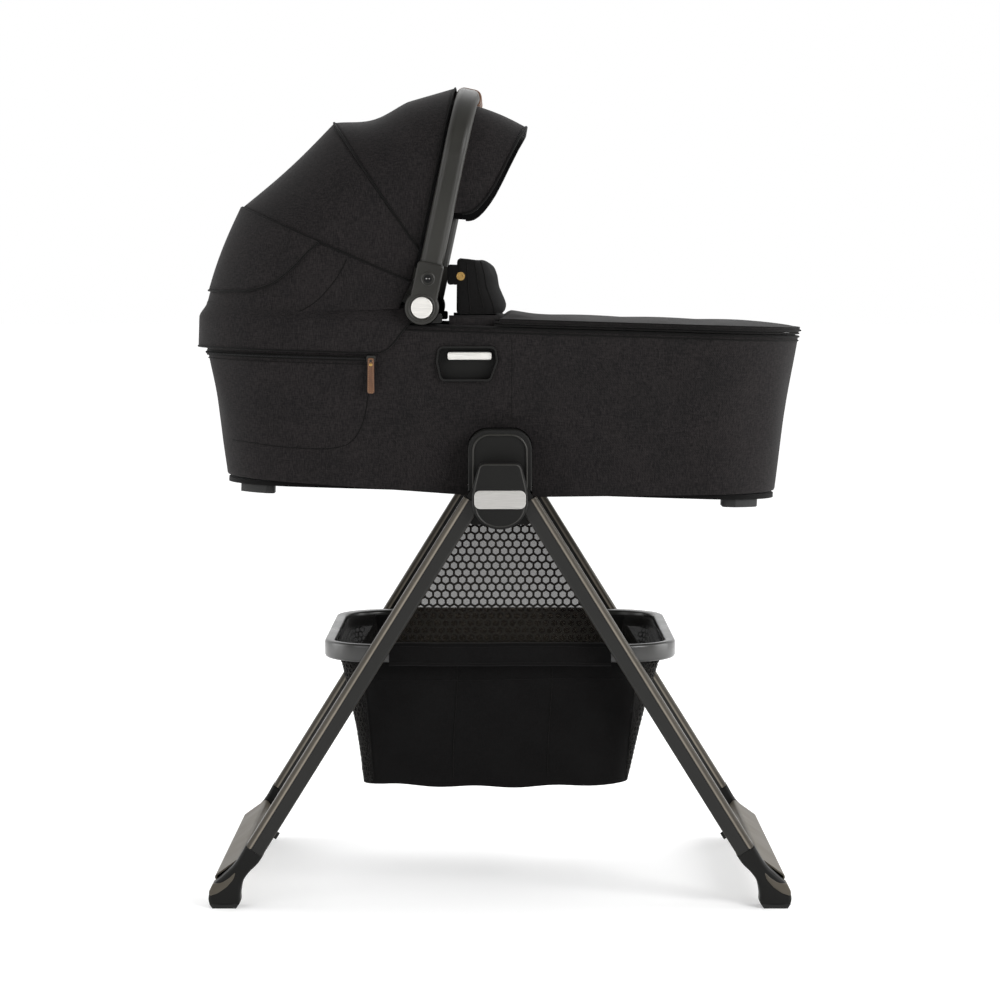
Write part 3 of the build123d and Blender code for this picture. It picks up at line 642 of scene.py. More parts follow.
def tidy(mesh: bpy.types.Mesh) -> None:
    """Merge doubled points, turn faces outward and shade smoothly over all but sharp edges."""
    work = bmesh.new()
    work.from_mesh(mesh)
    bmesh.ops.remove_doubles(work, verts=work.verts, dist=2e-6)
    bmesh.ops.recalc_face_normals(work, faces=work.faces)
    work.to_mesh(mesh)
    work.free()
    mesh.shade_smooth()
    mesh.set_sharp_from_angle(angle=SMOOTH_ANGLE)
    mesh.update()


def settle(piece: bpy.types.Object) -> bpy.types.Object:
    """Apply every modifier on a piece to its mesh."""
    graph = bpy.context.evaluated_depsgraph_get()
    made = bpy.data.meshes.new_from_object(piece.evaluated_get(graph))
    piece.modifiers.clear()
    piece.data = made
    return piece


def thicken(piece: bpy.types.Object, thickness: float, outward: float = -1.0, rim: int = 0,
            inner: int = 0) -> bpy.types.Object:
    """Give a sheet its thickness.

    Args:
        piece: The sheet.
        thickness: How thick it becomes.
        outward: -1 to grow inward, 1 outward, 0 both ways.
        rim: How far on the rim's material is from the face's.
        inner: How far on the inner face's material is from the outer one's.

    Returns:
        The piece.
    """
    solid = piece.modifiers.new("thickness", "SOLIDIFY")
    solid.thickness = thickness * MM
    solid.offset = outward
    solid.material_offset_rim = rim
    solid.material_offset = inner
    solid.use_even_offset = False
    return settle(piece)


def points_of(piece: bpy.types.Object) -> np.ndarray:
    """A piece's own points, in millimetres."""
    flat = np.zeros(len(piece.data.vertices) * 3, np.float32)
    piece.data.vertices.foreach_get("co", flat)
    return flat.reshape(-1, 3).astype(float) / MM


def move_points(piece: bpy.types.Object, points: np.ndarray) -> None:
    """Put a piece's points at new places, given in millimetres."""
    piece.data.vertices.foreach_set("co", (points * MM).astype(np.float32).ravel())
    piece.data.update()


def copy_node(node: bpy.types.Object, name: str, material: bpy.types.Material) -> bpy.types.Object:
    """A new piece with the shape of a CAD node."""
    mesh = node.data.copy()
    mesh.materials.clear()
    mesh.materials.append(material)
    piece = bpy.data.objects.new(name, mesh)
    bpy.context.scene.collection.objects.link(piece)
    return piece


def swell(piece: bpy.types.Object, voxel: float, pressure: float, cap: float,
          shrink: float) -> bpy.types.Object:
    """Fill a piece like a pad by cloth simulation.

    Args:
        piece: A closed mesh.
        voxel: The size of its new faces.
        pressure: How hard it is filled.
        cap: The furthest that a point may move.
        shrink: How far the shape is drawn in first.

    Returns:
        The piece.
    """
    remesh = piece.modifiers.new("remesh", "REMESH")
    remesh.mode = "VOXEL"
    remesh.voxel_size = voxel * MM
    settle(piece)
    rest = points_of(piece)
    normals = np.array([v.normal for v in piece.data.vertices])
    rest = rest - normals * shrink
    move_points(piece, rest)
    cloth = piece.modifiers.new("filling", "CLOTH")
    cloth.settings.use_pressure = True
    cloth.settings.uniform_pressure_force = pressure
    cloth.settings.effector_weights.gravity = 0.0
    cloth.settings.tension_stiffness = 30
    cloth.settings.compression_stiffness = 30
    cloth.settings.bending_stiffness = 2.0
    scene = bpy.context.scene
    for number in range(1, 21):
        scene.frame_set(number)
    settle(piece)
    scene.frame_set(1)
    moved = points_of(piece) - rest
    far = np.linalg.norm(moved, axis=1, keepdims=True)
    move_points(piece, rest + moved * np.minimum(1.0, cap / np.maximum(far, 1e-6)))
    smooth = piece.modifiers.new("soften", "SMOOTH")
    smooth.factor, smooth.iterations = 0.5, 4
    settle(piece)
    piece.data.shade_smooth()
    return piece


def projected(piece: bpy.types.Object, line: np.ndarray, side: float, lift: float = 0.0) -> np.ndarray:
    """Lay a line drawn in side view onto a piece.

    Args:
        piece: The piece it lies on.
        line: Its points as x and z.
        side: -1 for the near side, 1 for the far side.
        lift: How far above the surface it lies.

    Returns:
        The points on the surface, without those that miss it.
    """
    mesh = piece.data
    tree = BVHTree.FromPolygons([v.co for v in mesh.vertices], [tuple(p.vertices) for p in mesh.polygons])
    out = []
    for x, z in line:
        start = Vector((x * MM, side * 0.6, z * MM))
        hit, normal, _, _ = tree.ray_cast(start, Vector((0, -side, 0)))
        if hit is not None and abs(hit.y) > 0.05:
            normal = normal if normal.y * side > 0 else -normal
            out.append(np.array(hit) / MM + np.array(normal) * lift)
    return np.array(out)


def declare_sheet(rows: np.ndarray) -> None:
    """Work out the size of a sheet of cloth's flat cut; nothing further is done with it.

    Args:
        rows: All of its cloth as rows, columns and coordinates.
    """
    across = max(float(lengths(row)[-1]) for row in rows)
    down = max(float(lengths(rows[:, j])[-1]) for j in range(rows.shape[1]))
    one, two = rows[1:, 1:] - rows[:-1, :-1], rows[1:, :-1] - rows[:-1, 1:]
    area = float(np.linalg.norm(np.cross(one, two), axis=2).sum()) / 2 * MM * MM


def settle_on(piece: bpy.types.Object, body: str, slot: str, *nodes: str) -> bpy.types.Object:
    """Make a piece ride on a body and stand for CAD nodes, which it hides."""
    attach(piece, body)
    if nodes:
        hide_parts(*nodes)
    LOG.info("%s rides on %s", piece.name, body)
    return piece


def projected_flat(line: np.ndarray, side: float, out: float) -> np.ndarray:
    """Put a line of x and z at a distance out from the cot's middle."""
    return np.stack([line[:, 0], np.full(len(line), side * out), line[:, 1]], 1)


def flat_on_side(side: float) -> Callable[[np.ndarray, float], np.ndarray]:
    """A function that puts an outline at a distance out from the cot's middle, on one side."""
    return lambda outline, out: projected_flat(outline, side, out)


def stitches(shape: Shape, path: np.ndarray, length: float, gap: float, radius: float) -> Shape:
    """Add a row of stitches to a shape, each a short rounded thread."""
    points = spaced(path, (length + gap) / 2)
    for i in range(0, len(points) - 1, 2):
        a, b = points[i], points[i + 1]
        reach = unit(b - a) * length / 2
        middle = (a + b) / 2
        line = np.stack([middle - reach, middle - 0.7 * reach, middle + 0.7 * reach, middle + reach])
        turn = np.linspace(0, 2 * math.pi, 6, endpoint=False)
        section = radius * np.stack([np.cos(turn), np.sin(turn)], 1)
        shape.sweep(line, section, None, False, np.array([0.4, 1, 1, 0.4]))
    return shape


# ------------------------------------------------------------------ studio
@dataclass
class Studio:
    """The camera, the pale floor and the soft lights."""

    camera_y: float = -4.25
    camera_z: float = 0.838
    rise: float = -0.098
    tilt: float = 2.24
    lens: float = 107.6

    def build(self) -> None:
        """Make the camera first, nearly level so that uprights stay upright, then floor and lights."""
        scene = bpy.context.scene
        camera = bpy.data.objects.new("camera", bpy.data.cameras.new("camera"))
        camera.data.lens = self.lens
        camera.data.sensor_width = 36.0
        camera.data.shift_y = self.rise
        camera.location = (0.0, self.camera_y, self.camera_z)
        camera.rotation_euler = (math.radians(90 - self.tilt), 0, 0)
        scene.collection.objects.link(camera)
        scene.camera = camera
        scene.view_settings.view_transform = "Standard"
        self.floor()
        self.surroundings()
        self.lamp("key", (2.6, -2.8, 2.0), 1.8, 105.0)
        self.lamp("fill", (-2.4, -2.8, 1.6), 2.0, 34.0)
        self.lamp("left", (-3.2, 0.3, 1.1), 2.0, 34.0)
        self.lamp("right", (3.2, 0.3, 1.1), 2.0, 44.0)
        self.lamp("rim", (0.2, 2.4, 3.0), 2.4, 40.0)

    def surroundings(self) -> None:
        """Make the room: white to look at, and darker in front of the bassinet for what it reflects."""
        world = bpy.data.worlds.new("studio")
        world.use_nodes = True
        tree = world.node_tree
        background = tree.nodes["Background"]
        place = tree.nodes.new("ShaderNodeTexCoord")
        axes = tree.nodes.new("ShaderNodeSeparateXYZ")
        ramp = tree.nodes.new("ShaderNodeMapRange")
        seen = tree.nodes.new("ShaderNodeLightPath")
        most = tree.nodes.new("ShaderNodeMath")
        most.operation = "MAXIMUM"
        for name, value in (("From Min", -0.75), ("From Max", 0.1), ("To Min", 0.03), ("To Max", 1.0)):
            ramp.inputs[name].default_value = value
        tree.links.new(place.outputs["Generated"], axes.inputs[0])
        tree.links.new(axes.outputs["Y"], ramp.inputs["Value"])
        tree.links.new(ramp.outputs["Result"], most.inputs[0])
        tree.links.new(seen.outputs["Is Camera Ray"], most.inputs[1])
        tree.links.new(most.outputs[0], background.inputs["Strength"])
        background.inputs["Color"].default_value = (1, 1, 1, 1)
        bpy.context.scene.world = world

    def floor(self) -> None:
        """Make the floor, a wide plain disc that glows: less near the bassinet, which paints a darker shade
        round it, and more far off, where it reads white.
        """
        turn = np.linspace(0, 2 * math.pi, 96, endpoint=False)
        shape = Shape()
        circle = np.stack([np.cos(turn), np.sin(turn), np.zeros(96)], 1)
        rings = [radius * circle for radius in (50, 2000, 12000, 60000)]
        shape.grid(np.stack(rings), True)
        shape.add_faces([tuple(range(96))])
        w = Wiring("studio_floor")
        w.set(Base_Color=colour(0.8, 0.8, 0.8), Roughness=0.9)
        w.shader.inputs["Specular IOR Level"].default_value = 0.0
        w.shader.inputs["Emission Color"].default_value = (1, 1, 1, 1)
        # The glow grows from 0.4 m to 1.8 m out: painted shade round the bassinet, white beyond.
        out = w.add("ShaderNodeVectorMath", {0: w.place()}, operation="LENGTH").outputs["Value"]
        w.set(Emission_Strength=w.ramp(out, 0.4, 1.8, 0.29, 0.5))
        floor = shape.build("floor", w.material)

    def lamp(self, name: str, at: tuple[float, float, float], size: float, power: float) -> None:
        """Add a square soft light that faces the bassinet."""
        light = bpy.data.lights.new(name, "AREA")
        light.size, light.energy = size, power
        lamp = bpy.data.objects.new(name, light)
        lamp.location = at
        lamp.rotation_euler = (Vector((0, 0, 0.6)) - Vector(at)).to_track_quat("-Z", "Y").to_euler()
        bpy.context.scene.collection.objects.link(lamp)


# ------------------------------------------------------------------ cot
@dataclass
class Cot:
    """The cot: its cloth body, rim, lining, mattress, boot cover, zip and small trim."""

    finishes: Finishes
    nodes: dict[str, bpy.types.Object]
    pitch: float = math.radians(1.74)
    seat: float = 555.0
    base_level: float = 552.0
    rim_level: float = 780.0
    head: tuple[float, float] = (-378.5, -422.5)
    foot: tuple[float, float] = (381.0, 408.5)
    half: tuple[float, float] = (208.0, 222.0)
    corner: tuple[float, float] = (110.0, 140.0)
    cloth: float = 2.4
    side_steps: int = 70
    corner_steps: int = 16
    end_steps: int = 26
    zip_level: float = 733.0
    zip_end: float = -176.0
    tape_half: float = 3.6
    wall_top: float = 774.0

    def outline(self, level: float, by: float = 0.0) -> np.ndarray:
        """The cot's plan outline at a level, drawn in by a distance, from the near side's head end round."""
        share = (level - self.base_level) / (self.rim_level - self.base_level)
        ends = (self.head, self.foot, self.half, self.corner)
        head, foot, half, corner = (low + share * (high - low) for low, high in ends)
        head, foot, half, corner = head + by, foot - by, half - by, max(corner - by, 5.0)
        side = np.linspace(head + corner, foot - corner, self.side_steps, endpoint=False)
        end = np.linspace(corner - half, half - corner, self.end_steps, endpoint=False)
        turn = np.linspace(0, math.pi / 2, self.corner_steps, endpoint=False)
        arcs = [(foot - corner, corner - half, -math.pi / 2), (foot - corner, half - corner, 0),
                (head + corner, half - corner, math.pi / 2), (head + corner, corner - half, math.pi)]
        bends = [np.stack([x + corner * np.cos(turn + a), y + corner * np.sin(turn + a)], 1)
                 for x, y, a in arcs]
        return np.vstack([np.stack([side, np.full(len(side), -half)], 1), bends[0],
                          np.stack([np.full(len(end), foot), end], 1), bends[1],
                          np.stack([foot + head - side, np.full(len(side), half)], 1), bends[2],
                          np.stack([np.full(len(end), head), -end], 1), bends[3]])

    def raised(self, plan: np.ndarray, level: np.ndarray | float) -> np.ndarray:
        """Put plan points at a level of the cot, which is pitched a little."""
        up = np.broadcast_to(np.asarray(level, float), len(plan)) - self.seat
        c, s = math.cos(self.pitch), math.sin(self.pitch)
        return np.stack([plan[:, 0] * c + up * s, plan[:, 1], self.seat - plan[:, 0] * s + up * c], 1)

    def ring(self, level: float, by: float = 0.0) -> np.ndarray:
        """The outline at a level, in space."""
        return self.raised(self.outline(level, by), level)

    def hem_level(self, plan: np.ndarray) -> np.ndarray:
        """The level of the body's lower edge, which rises a little to each end."""
        return 550.0 + 19.0 * np.abs(plan[:, 0]) / 460.0

    def folds(self, plan: np.ndarray, share: float) -> np.ndarray:
        """How far the cloth stands out of its plain shape: soft folds, more at the ends than on the sides."""
        along = lengths(plan)
        ends = smoothstep(250, 400, np.abs(plan[:, 0] + 5))
        slack = math.sin(math.pi * min(1.0, max(0.0, share)))
        waves = (np.sin(along / 21.0 + 2.2 * share) + 0.7 * np.sin(along / 12.7 - 3.0 * share + 1.3)
                 + 0.5 * np.sin(along / 47.0 + 0.4))
        still = 0.30 * np.sin(along / 63.0 + 1.7 * share) + 0.14 * np.sin(along / 19.0 + 4 * share)
        return slack * (ends * (0.75 * waves - 2.2) + (1 - ends) * (still - 0.7))

    def body_rows(self) -> np.ndarray:
        """The rows of the body's outer face, from under its hem, up the wall and over the rim."""
        rows = []
        base = self.outline(self.base_level + 4)
        hem = self.hem_level(base)
        for by, rise in ((12.0, 2.5), (4.0, 0.6), (1.2, 0.4), (0.2, 2.0)):
            rows.append(self.raised(inset_plan(self.outline(self.base_level + 4), by), hem + rise))
        steps = 34
        for i in range(1, steps + 1):
            share = i / steps
            level = self.base_level + 4 + share * (self.wall_top - self.base_level - 4)
            plan = self.outline(level)
            plan = inset_plan(plan, -self.folds(plan, share))
            rows.append(self.raised(plan, hem + 4 + share * (self.wall_top - hem - 4)))
        over_rim = ((777.5, 0.3), (780.6, 2.0), (782.0, 5.0), (782.4, 9.5), (781.6, 13.8),
                    (778.0, 16.6), (768.0, 17.2))
        for level, by in over_rim:
            rows.append(self.raised(self.outline(min(level, 780.0), by), level))
        return np.stack(rows)

    def cutter(self, outline: np.ndarray, name: str) -> bpy.types.Object:
        """A bar that runs right across the cot, to cut its cloth with."""
        shape = Shape()
        rings = np.stack([projected_flat(outline, side, 320.0) for side in SIDES.values()])
        shape.grid(rings, True)
        m = len(outline)
        shape.add_faces([tuple(reversed(range(m))), tuple(range(m, 2 * m))])
        return shape.build(name)

    def slot_outline(self, by: float = 0.0) -> np.ndarray:
        """The hand slot's outline in side view."""
        corners = [(-84, 756), (-5, 756), (-2, 735), (-12, 708), (-81, 708), (-87, 735)]
        return inset(rounded(corners, 9), by)

    def body(self) -> bpy.types.Object:
        """The cloth body, cut open round the docks and hand slots."""
        rows = self.body_rows()
        shape = Shape().grid(rows, True)
        piece = thicken(shape.build("cot_body", self.finishes.melange), self.cloth)
        arch = rounded([(-43.8, 500), (43.8, 500), (43.8, 645.4), (-43.8, 645.4)], [0, 0, 27, 27], 10)
        for number, outline in enumerate((arch, self.slot_outline())):
            bar = self.cutter(outline, f"cutter_{number}")
            cut = piece.modifiers.new("cut", "BOOLEAN")
            cut.object, cut.operation, cut.solver = bar, "DIFFERENCE", "EXACT"
            settle(piece)
            bpy.data.objects.remove(bar)
        tidy(piece.data)
        closed = np.concatenate([rows, rows[:, :1]], axis=1)
        self.surface = piece
        declare_sheet(closed[3:])
        settle_on(piece, "cot", "cot_fabric", "fabric_body")
        return piece

    def wall_line(self, level: float, out: float, start: float | None = None) -> np.ndarray:
        """A line round the cot's wall at a level, only round its head end where start gives the last x."""
        plan = self.outline(level)
        share = (level - self.base_level - 4) / (self.wall_top - self.base_level - 4)
        plan = inset_plan(plan, -self.folds(plan, share) - out)
        line = self.raised(plan, level)
        if start is None:
            return line
        middle = self.side_steps + 2 * self.corner_steps + self.end_steps
        line = np.roll(line, -middle, axis=0)
        return line[line[:, 0] < start]

    def trim(self) -> None:
        """Rim piping, the long zip with its tape, stitched lines and the pocket's seam."""
        f = self.finishes
        piping = Shape()
        for level, by, radius in ((779.0, -0.6, 1.5), (773.5, -0.5, 1.1)):
            piping.tube(self.ring(level, by), radius, 8, True)
        settle_on(piping.build("rim_piping", f.binding), "cot", "black_fabric")
        line = self.wall_line(self.zip_level, 0.7, self.zip_end)
        out = self.wall_line(self.zip_level, 5.0, self.zip_end)
        n = min(len(line), len(out))
        wide = self.tape_half
        section = rounded([(-wide, -0.5), (wide, -0.5), (wide, 0.5), (-wide, 0.5)], 0.4, 2)
        band = Shape().sweep(line[:n], section, unit(out[:n] - line[:n]))
        settle_on(band.build("zip_tape_cloth", f.binding), "cot", "black_fabric", "zip_tape")
        coil = spaced(self.wall_line(self.zip_level, 1.6, self.zip_end), 1.1)
        pulse = 1.0 + 0.22 * np.cos(np.arange(len(coil)) * math.pi)
        turn = np.linspace(0, 2 * math.pi, 6, endpoint=False)
        section = 1.25 * np.stack([np.cos(turn), np.sin(turn)], 1)
        teeth = Shape().sweep(coil, section, None, False, pulse)
        settle_on(teeth.build("zip_coil", f.deep_black_and_hole_shade), "cot", "black_fabric")
        seams = Shape()
        seams.tube(self.wall_line(self.zip_level - 7.6, 0.3, self.zip_end), 0.55, 6)
        curve = curve_through([(-172, 735), (-179.6, 678.5), (-186, 650.5), (-198.5, 629), (-216, 619.5),
                               (-250, 616.6), (-300, 619.5), (-336, 623.5), (-366, 626)])
        for side in SIDES.values():
            seams.tube(projected(self.surface, curve, side, 0.1), 0.75, 6)
            upright = np.array([(16.0, z) for z in np.linspace(655, 765, 40)])
            seams.tube(projected(self.surface, upright, side, -0.1), 0.45, 6)
        settle_on(seams.build("body_seams", f.binding), "cot", "black_fabric")

    def inside(self) -> None:
        """The lining, its quilting, and the mattress."""
        f = self.finishes
        rows = []
        for level in np.linspace(566, 779, 44):
            plan = self.outline(level, 18.6)
            along = lengths(plan)
            quilt = np.abs(np.sin(along / 22.0)) * abs(math.sin((level - 566) / 22.0))
            rows.append(self.raised(inset_plan(plan, 2.2 * quilt), level))
        piece = thicken(Shape().grid(np.stack(rows), True).build("quilted_lining", f.underside), 1.6, 1.0)
        declare_sheet(np.stack([np.vstack([r, r[:1]]) for r in rows]))
        settle_on(piece, "cot", "lining", "liner")
        pad = swell(copy_node(self.nodes["mattress"], "mattress_pad", f.mattress), 6.0, 4.0, 9.0, 3.0)
        points = points_of(pad)
        high = points[:, 2] > np.median(points[:, 2])
        tuft = 1.4 * np.abs(np.sin(points[:, 0] / 26.0) * np.sin(points[:, 1] / 26.0))
        points[:, 2] -= np.where(high, 1.4 - tuft, 0.0)
        move_points(pad, points)
        settle_on(pad, "cot", "mattress_cover", "mattress")

    def boot_cover(self) -> None:
        """The padded cover over the foot half, its rim zip and its seams."""
        f = self.finishes
        edge = self.outline(self.rim_level, -2.0)
        front = -8.0
        keep = edge[edge[:, 0] > front]
        order = np.argsort(np.arctan2(keep[:, 1], keep[:, 0] - 150.0))
        keep = keep[order]
        gap = int(np.argmax(np.linalg.norm(np.roll(keep, -1, 0) - keep, axis=1))) + 1
        keep = np.roll(keep, -gap, axis=0)
        cross = np.stack([np.full(40, front), np.linspace(keep[-1, 1], keep[0, 1], 42)[1:-1]], 1)
        loop = np.vstack([keep, cross])
        spine = np.stack([np.clip(loop[:, 0], 120.0, 300.0), np.zeros(len(loop))], 1)
        rows = []
        for level, share in ((785.2, 0.985), (786.0, 0.996), (788.5, 1.0), (791.0, 0.998), (792.6, 0.988)):
            rows.append(self.raised(spine + (loop - spine) * share, level))
        for share in np.linspace(0.97, 0.0, 30):
            plan = spine + (loop - spine) * share
            near_front = np.exp(-((plan[:, 0] - front) / 38.0) ** 2)
            puff = 5.5 * (1 - share**3) + 9.0 * near_front * (1 - np.abs(plan[:, 1] / 232) ** 6)
            ripple = 0.8 * np.sin(plan[:, 0] / 17.0 + plan[:, 1] / 60) * (1 - share**2)
            rows.append(self.raised(plan, 792.8 + puff * smoothstep(1.0, 0.86, share) + ripple))
        top = np.stack(rows)
        shape = Shape().grid(top, True)
        under = np.stack([self.raised(spine + (loop - spine) * share, 785.0) for share in (0.985, 0.5, 0.0)])
        shape.grid(under[::-1], True)
        piece = shape.build("boot_cover", f.melange)
        settle_on(piece, "cot", "cot_fabric", "apron")
        zipper = Shape()
        for by, level, radius in ((-3.0, 787.6, 1.2), (-1.4, 791.8, 0.9), (-0.4, 783.6, 1.3)):
            line = self.raised(self.outline(self.rim_level, by), level)
            line = np.roll(line, self.side_steps // 2 + 3, axis=0)
            start = line[:, 0] > front
            line = line[start] if not (start[0] and start[-1]) else np.roll(line, -int(np.argmin(start)), 0)
            line = line[line[:, 0] > front]
            zipper.tube(line, radius, 8)
        settle_on(zipper.build("boot_cover_zip", f.binding), "cot", "black_fabric")

    def build(self) -> None:
        """Make every part of the cot."""
        self.body()
        self.trim()
        self.inside()
        self.boot_cover()


def inset_plan(plan: np.ndarray, by: np.ndarray | float) -> np.ndarray:
    """A closed plan outline moved inward, by one distance or by one for each point."""
    ahead = unit(np.roll(plan, -1, 0) - np.roll(plan, 1, 0))
    inward = np.stack([-ahead[:, 1], ahead[:, 0]], 1)
    return plan + inward * np.broadcast_to(np.asarray(by, float), len(plan))[:, None]


# ------------------------------------------------------------------ canopy
@dataclass(frozen=True)
class Bow:
    """The line of cloth over one bow: up a side, round a corner, across and down again."""

    x: float
    z: float
    lean: float
    half: float
    rise: float
    corner: float
    start: float
    side_steps: int = 36
    corner_steps: int = 28
    top_steps: int = 24
    bulge: tuple[tuple[float, float], ...] = ((0.0, 0.0), (1.0, 0.0))

    def line(self) -> np.ndarray:
        """Its points, from the near side over to the far side."""
        up = np.linspace(self.start, self.rise - self.corner, self.side_steps, endpoint=False)
        turn = np.linspace(0, math.pi / 2, self.corner_steps, endpoint=False)
        flat = np.linspace(self.corner - self.half, 0, self.top_steps // 2 + 1)
        out = self.corner - self.half - self.corner * np.cos(turn)
        over = self.rise - self.corner + self.corner * np.sin(turn)
        y = np.concatenate([np.full(len(up), -self.half), out, flat])
        h = np.concatenate([up, over, np.full(len(flat), self.rise)])
        y, h = np.concatenate([y, -y[-2::-1]]), np.concatenate([h, h[-2::-1]])
        lean = math.radians(self.lean)
        ahead = np.interp(h, *zip(*self.bulge))
        return np.stack([self.x + h * math.sin(lean) + ahead * math.cos(lean), y,
                         self.z + h * math.cos(lean) - ahead * math.sin(lean)], 1)

    def height(self) -> np.ndarray:
        """0 down its sides and 1 across its top, for each point."""
        n = len(self.line())
        at = np.abs(np.arange(n) - (n - 1) / 2) / ((n - 1) / 2)
        return smoothstep(0.95, 0.35, at)


@dataclass
class Canopy:
    """The canopy's panels with their piping, the rear flap, the skirt, the visor and the ribs."""

    finishes: Finishes
    cot: Cot
    axis: tuple[float, float] = (-105.0, 807.6)
    cloth: float = 1.5
    hem: Bow = Bow(-105.0, 807.6, -92.3, 217.6, 307.5, 138.0, 32.0)
    rib_2: Bow = Bow(-63.4, 817.7, -66.5, 218.0, 320.6, 132.0, 61.0)
    rib_1: Bow = Bow(-63.4, 817.7, -34.2, 218.0, 295.4, 122.0, 82.0)
    front: Bow = Bow(-124.56, 811.76, 12.0, 217.6, 303.5, 96.0, 77.0)
    visor_back: Bow = Bow(-69.6, 936.5, 12.0, 211.0, 152.5, 82.0, 0.0)
    visor_front: Bow = Bow(-51.0, 935.0, 36.0, 204.0, 148.0, 78.0, 0.0, bulge=(
        (0.0, 0.0), (3.0, 4.5), (8.0, 8.6), (15.0, 11.4), (26.0, 13.3), (40.0, 13.8), (56.0, 12.9),
        (76.0, 10.0), (100.0, 5.8), (129.0, 1.4), (148.0, 0.0)))

    def panel(self, back: Bow, ahead: Bow, steps: int, sag: Callable[[float], float],
              start: np.ndarray | float = 0.0) -> np.ndarray:
        """Rows of cloth from one bow to another.

        Args:
            back: The bow it starts at.
            ahead: The bow it ends at.
            steps: The rows of faces.
            sag: How far the cloth sinks toward the axis across its top, for a share of the way.
            start: The share of the way at which it starts, one or one for each column.

        Returns:
            The rows.
        """
        one, two = back.line(), ahead.line()
        high = (back.height() + ahead.height()) / 2
        begin = np.broadcast_to(np.asarray(start, float), len(one))
        rows = []
        for t in np.linspace(0, 1, steps + 1):
            share = begin + (1 - begin) * t
            row = one + (two - one) * share[:, None]
            to_axis = np.stack([self.axis[0] - row[:, 0], np.zeros(len(row)), self.axis[1] - row[:, 2]], 1)
            inward = unit(to_axis)
            depth = np.array([sag(float(s)) for s in share])
            row = row + inward * (depth * high)[:, None]
            row[:, 1] -= np.sign(row[:, 1]) * 1.6 * (1 - high) * np.sin(math.pi * share)
            rows.append(row)
        return np.stack(rows)

    def sheet(self, name: str, rows: np.ndarray, bodies: tuple[str, str], node: str) -> bpy.types.Object:
        """Make a panel that lies between two bodies."""
        f = self.finishes
        piece = thicken(Shape().grid(rows).build(name, f.melange, f.underside), self.cloth, -1.0, 0, 1)
        declare_sheet(rows)
        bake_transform(piece)
        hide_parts(node)
        LOG.info("%s bends from %s to %s", name, *bodies)
        return piece

    def rear_sag(self, share: float) -> float:
        """How far the rear panel bulges out, as a sag below zero, for a share of the way up."""
        return -5.0 * math.sin(math.pi * share)

    def front_sag(self, share: float) -> float:
        """How far the front panel sinks behind the handle, for a share of the way forward."""
        return 10.4 * math.sin(math.pi * min(1.0, share / 0.62)) ** 1.4

    def panels(self) -> None:
        """The three panels of the hood."""
        self.rear_rows = self.panel(self.hem, self.rib_2, 22, self.rear_sag)
        middle = self.panel(self.rib_2, self.rib_1, 24, lambda t: 3.6 * math.sin(math.pi * t))
        front = self.panel(self.rib_1, self.front, 28, self.front_sag)
        self.rear = self.sheet("canopy_rear", self.rear_rows, ("cot", "rib_2"), "canopy_rear_panel")
        self.sheet("canopy_middle", middle, ("rib_2", "rib_1"), "canopy_mid_panel")
        self.sheet("canopy_front", front, ("rib_1", "handle"), "canopy_front_panel")

    def piping(self) -> None:
        """The raised seams over the ribs, and the binding along the handle."""
        seams = (("rib_2", self.rib_2, 1.7), ("rib_1", self.rib_1, 1.7), ("handle", self.front, 1.3))
        for body, bow, radius in seams:
            line = bow.line()
            out = unit(line - np.array([bow.x, 0.0, bow.z]))
            shape = Shape().tube(line + out * 0.2, radius, 10)
            settle_on(shape.build(f"canopy_piping_{body}", self.finishes.binding), body, "black_fabric")

    def flap(self) -> None:
        """The flap that rolls up over the rear panel's window, with its bound edge."""
        n = self.rear_rows.shape[1]
        at = np.abs(np.arange(n) - (n - 1) / 2) / ((n - 1) / 2)
        first = int(np.argmax(at < 0.515))
        columns = slice(first, n - first)
        begin = np.interp(at, (0.30, 0.38, 0.42, 0.45, 0.47, 0.49, 0.508),
                          (0.23, 0.25, 0.29, 0.36, 0.47, 0.64, 0.985))
        rows = self.panel(self.hem, self.rib_2, 16, self.rear_sag, begin)[:, columns]
        rows = rows + self.outward(rows) * 2.6
        piece = thicken(Shape().grid(rows).build("canopy_flap", self.finishes.melange), 1.4)
        declare_sheet(rows)
        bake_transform(piece)
        edge = Shape().tube(spaced(rows[0], 4.0), 1.5, 8).build("canopy_flap_binding", self.finishes.binding)
        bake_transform(edge)
        curve = curve_through([(-207, 872), (-216, 854), (-229.5, 835.3), (-245.7, 818), (-267, 804),
                               (-290, 797)])
        seam = Shape()
        for side in SIDES.values():
            line = projected(self.rear, curve, side, 0.1)
            if len(line) > 3:
                seam.tube(line, 0.8, 6)
        if seam.points:
            piece = seam.build("canopy_side_seam", self.finishes.binding)
            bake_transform(piece)

    def outward(self, rows: np.ndarray) -> np.ndarray:
        """The outward direction at each point of some rows."""
        along = np.gradient(rows, axis=1)
        down = np.gradient(rows, axis=0)
        normal = unit(np.cross(along, down))
        away = rows - np.array([self.axis[0], 0, self.axis[1]])
        return normal * np.sign(np.sum(normal * away, 2, keepdims=True))

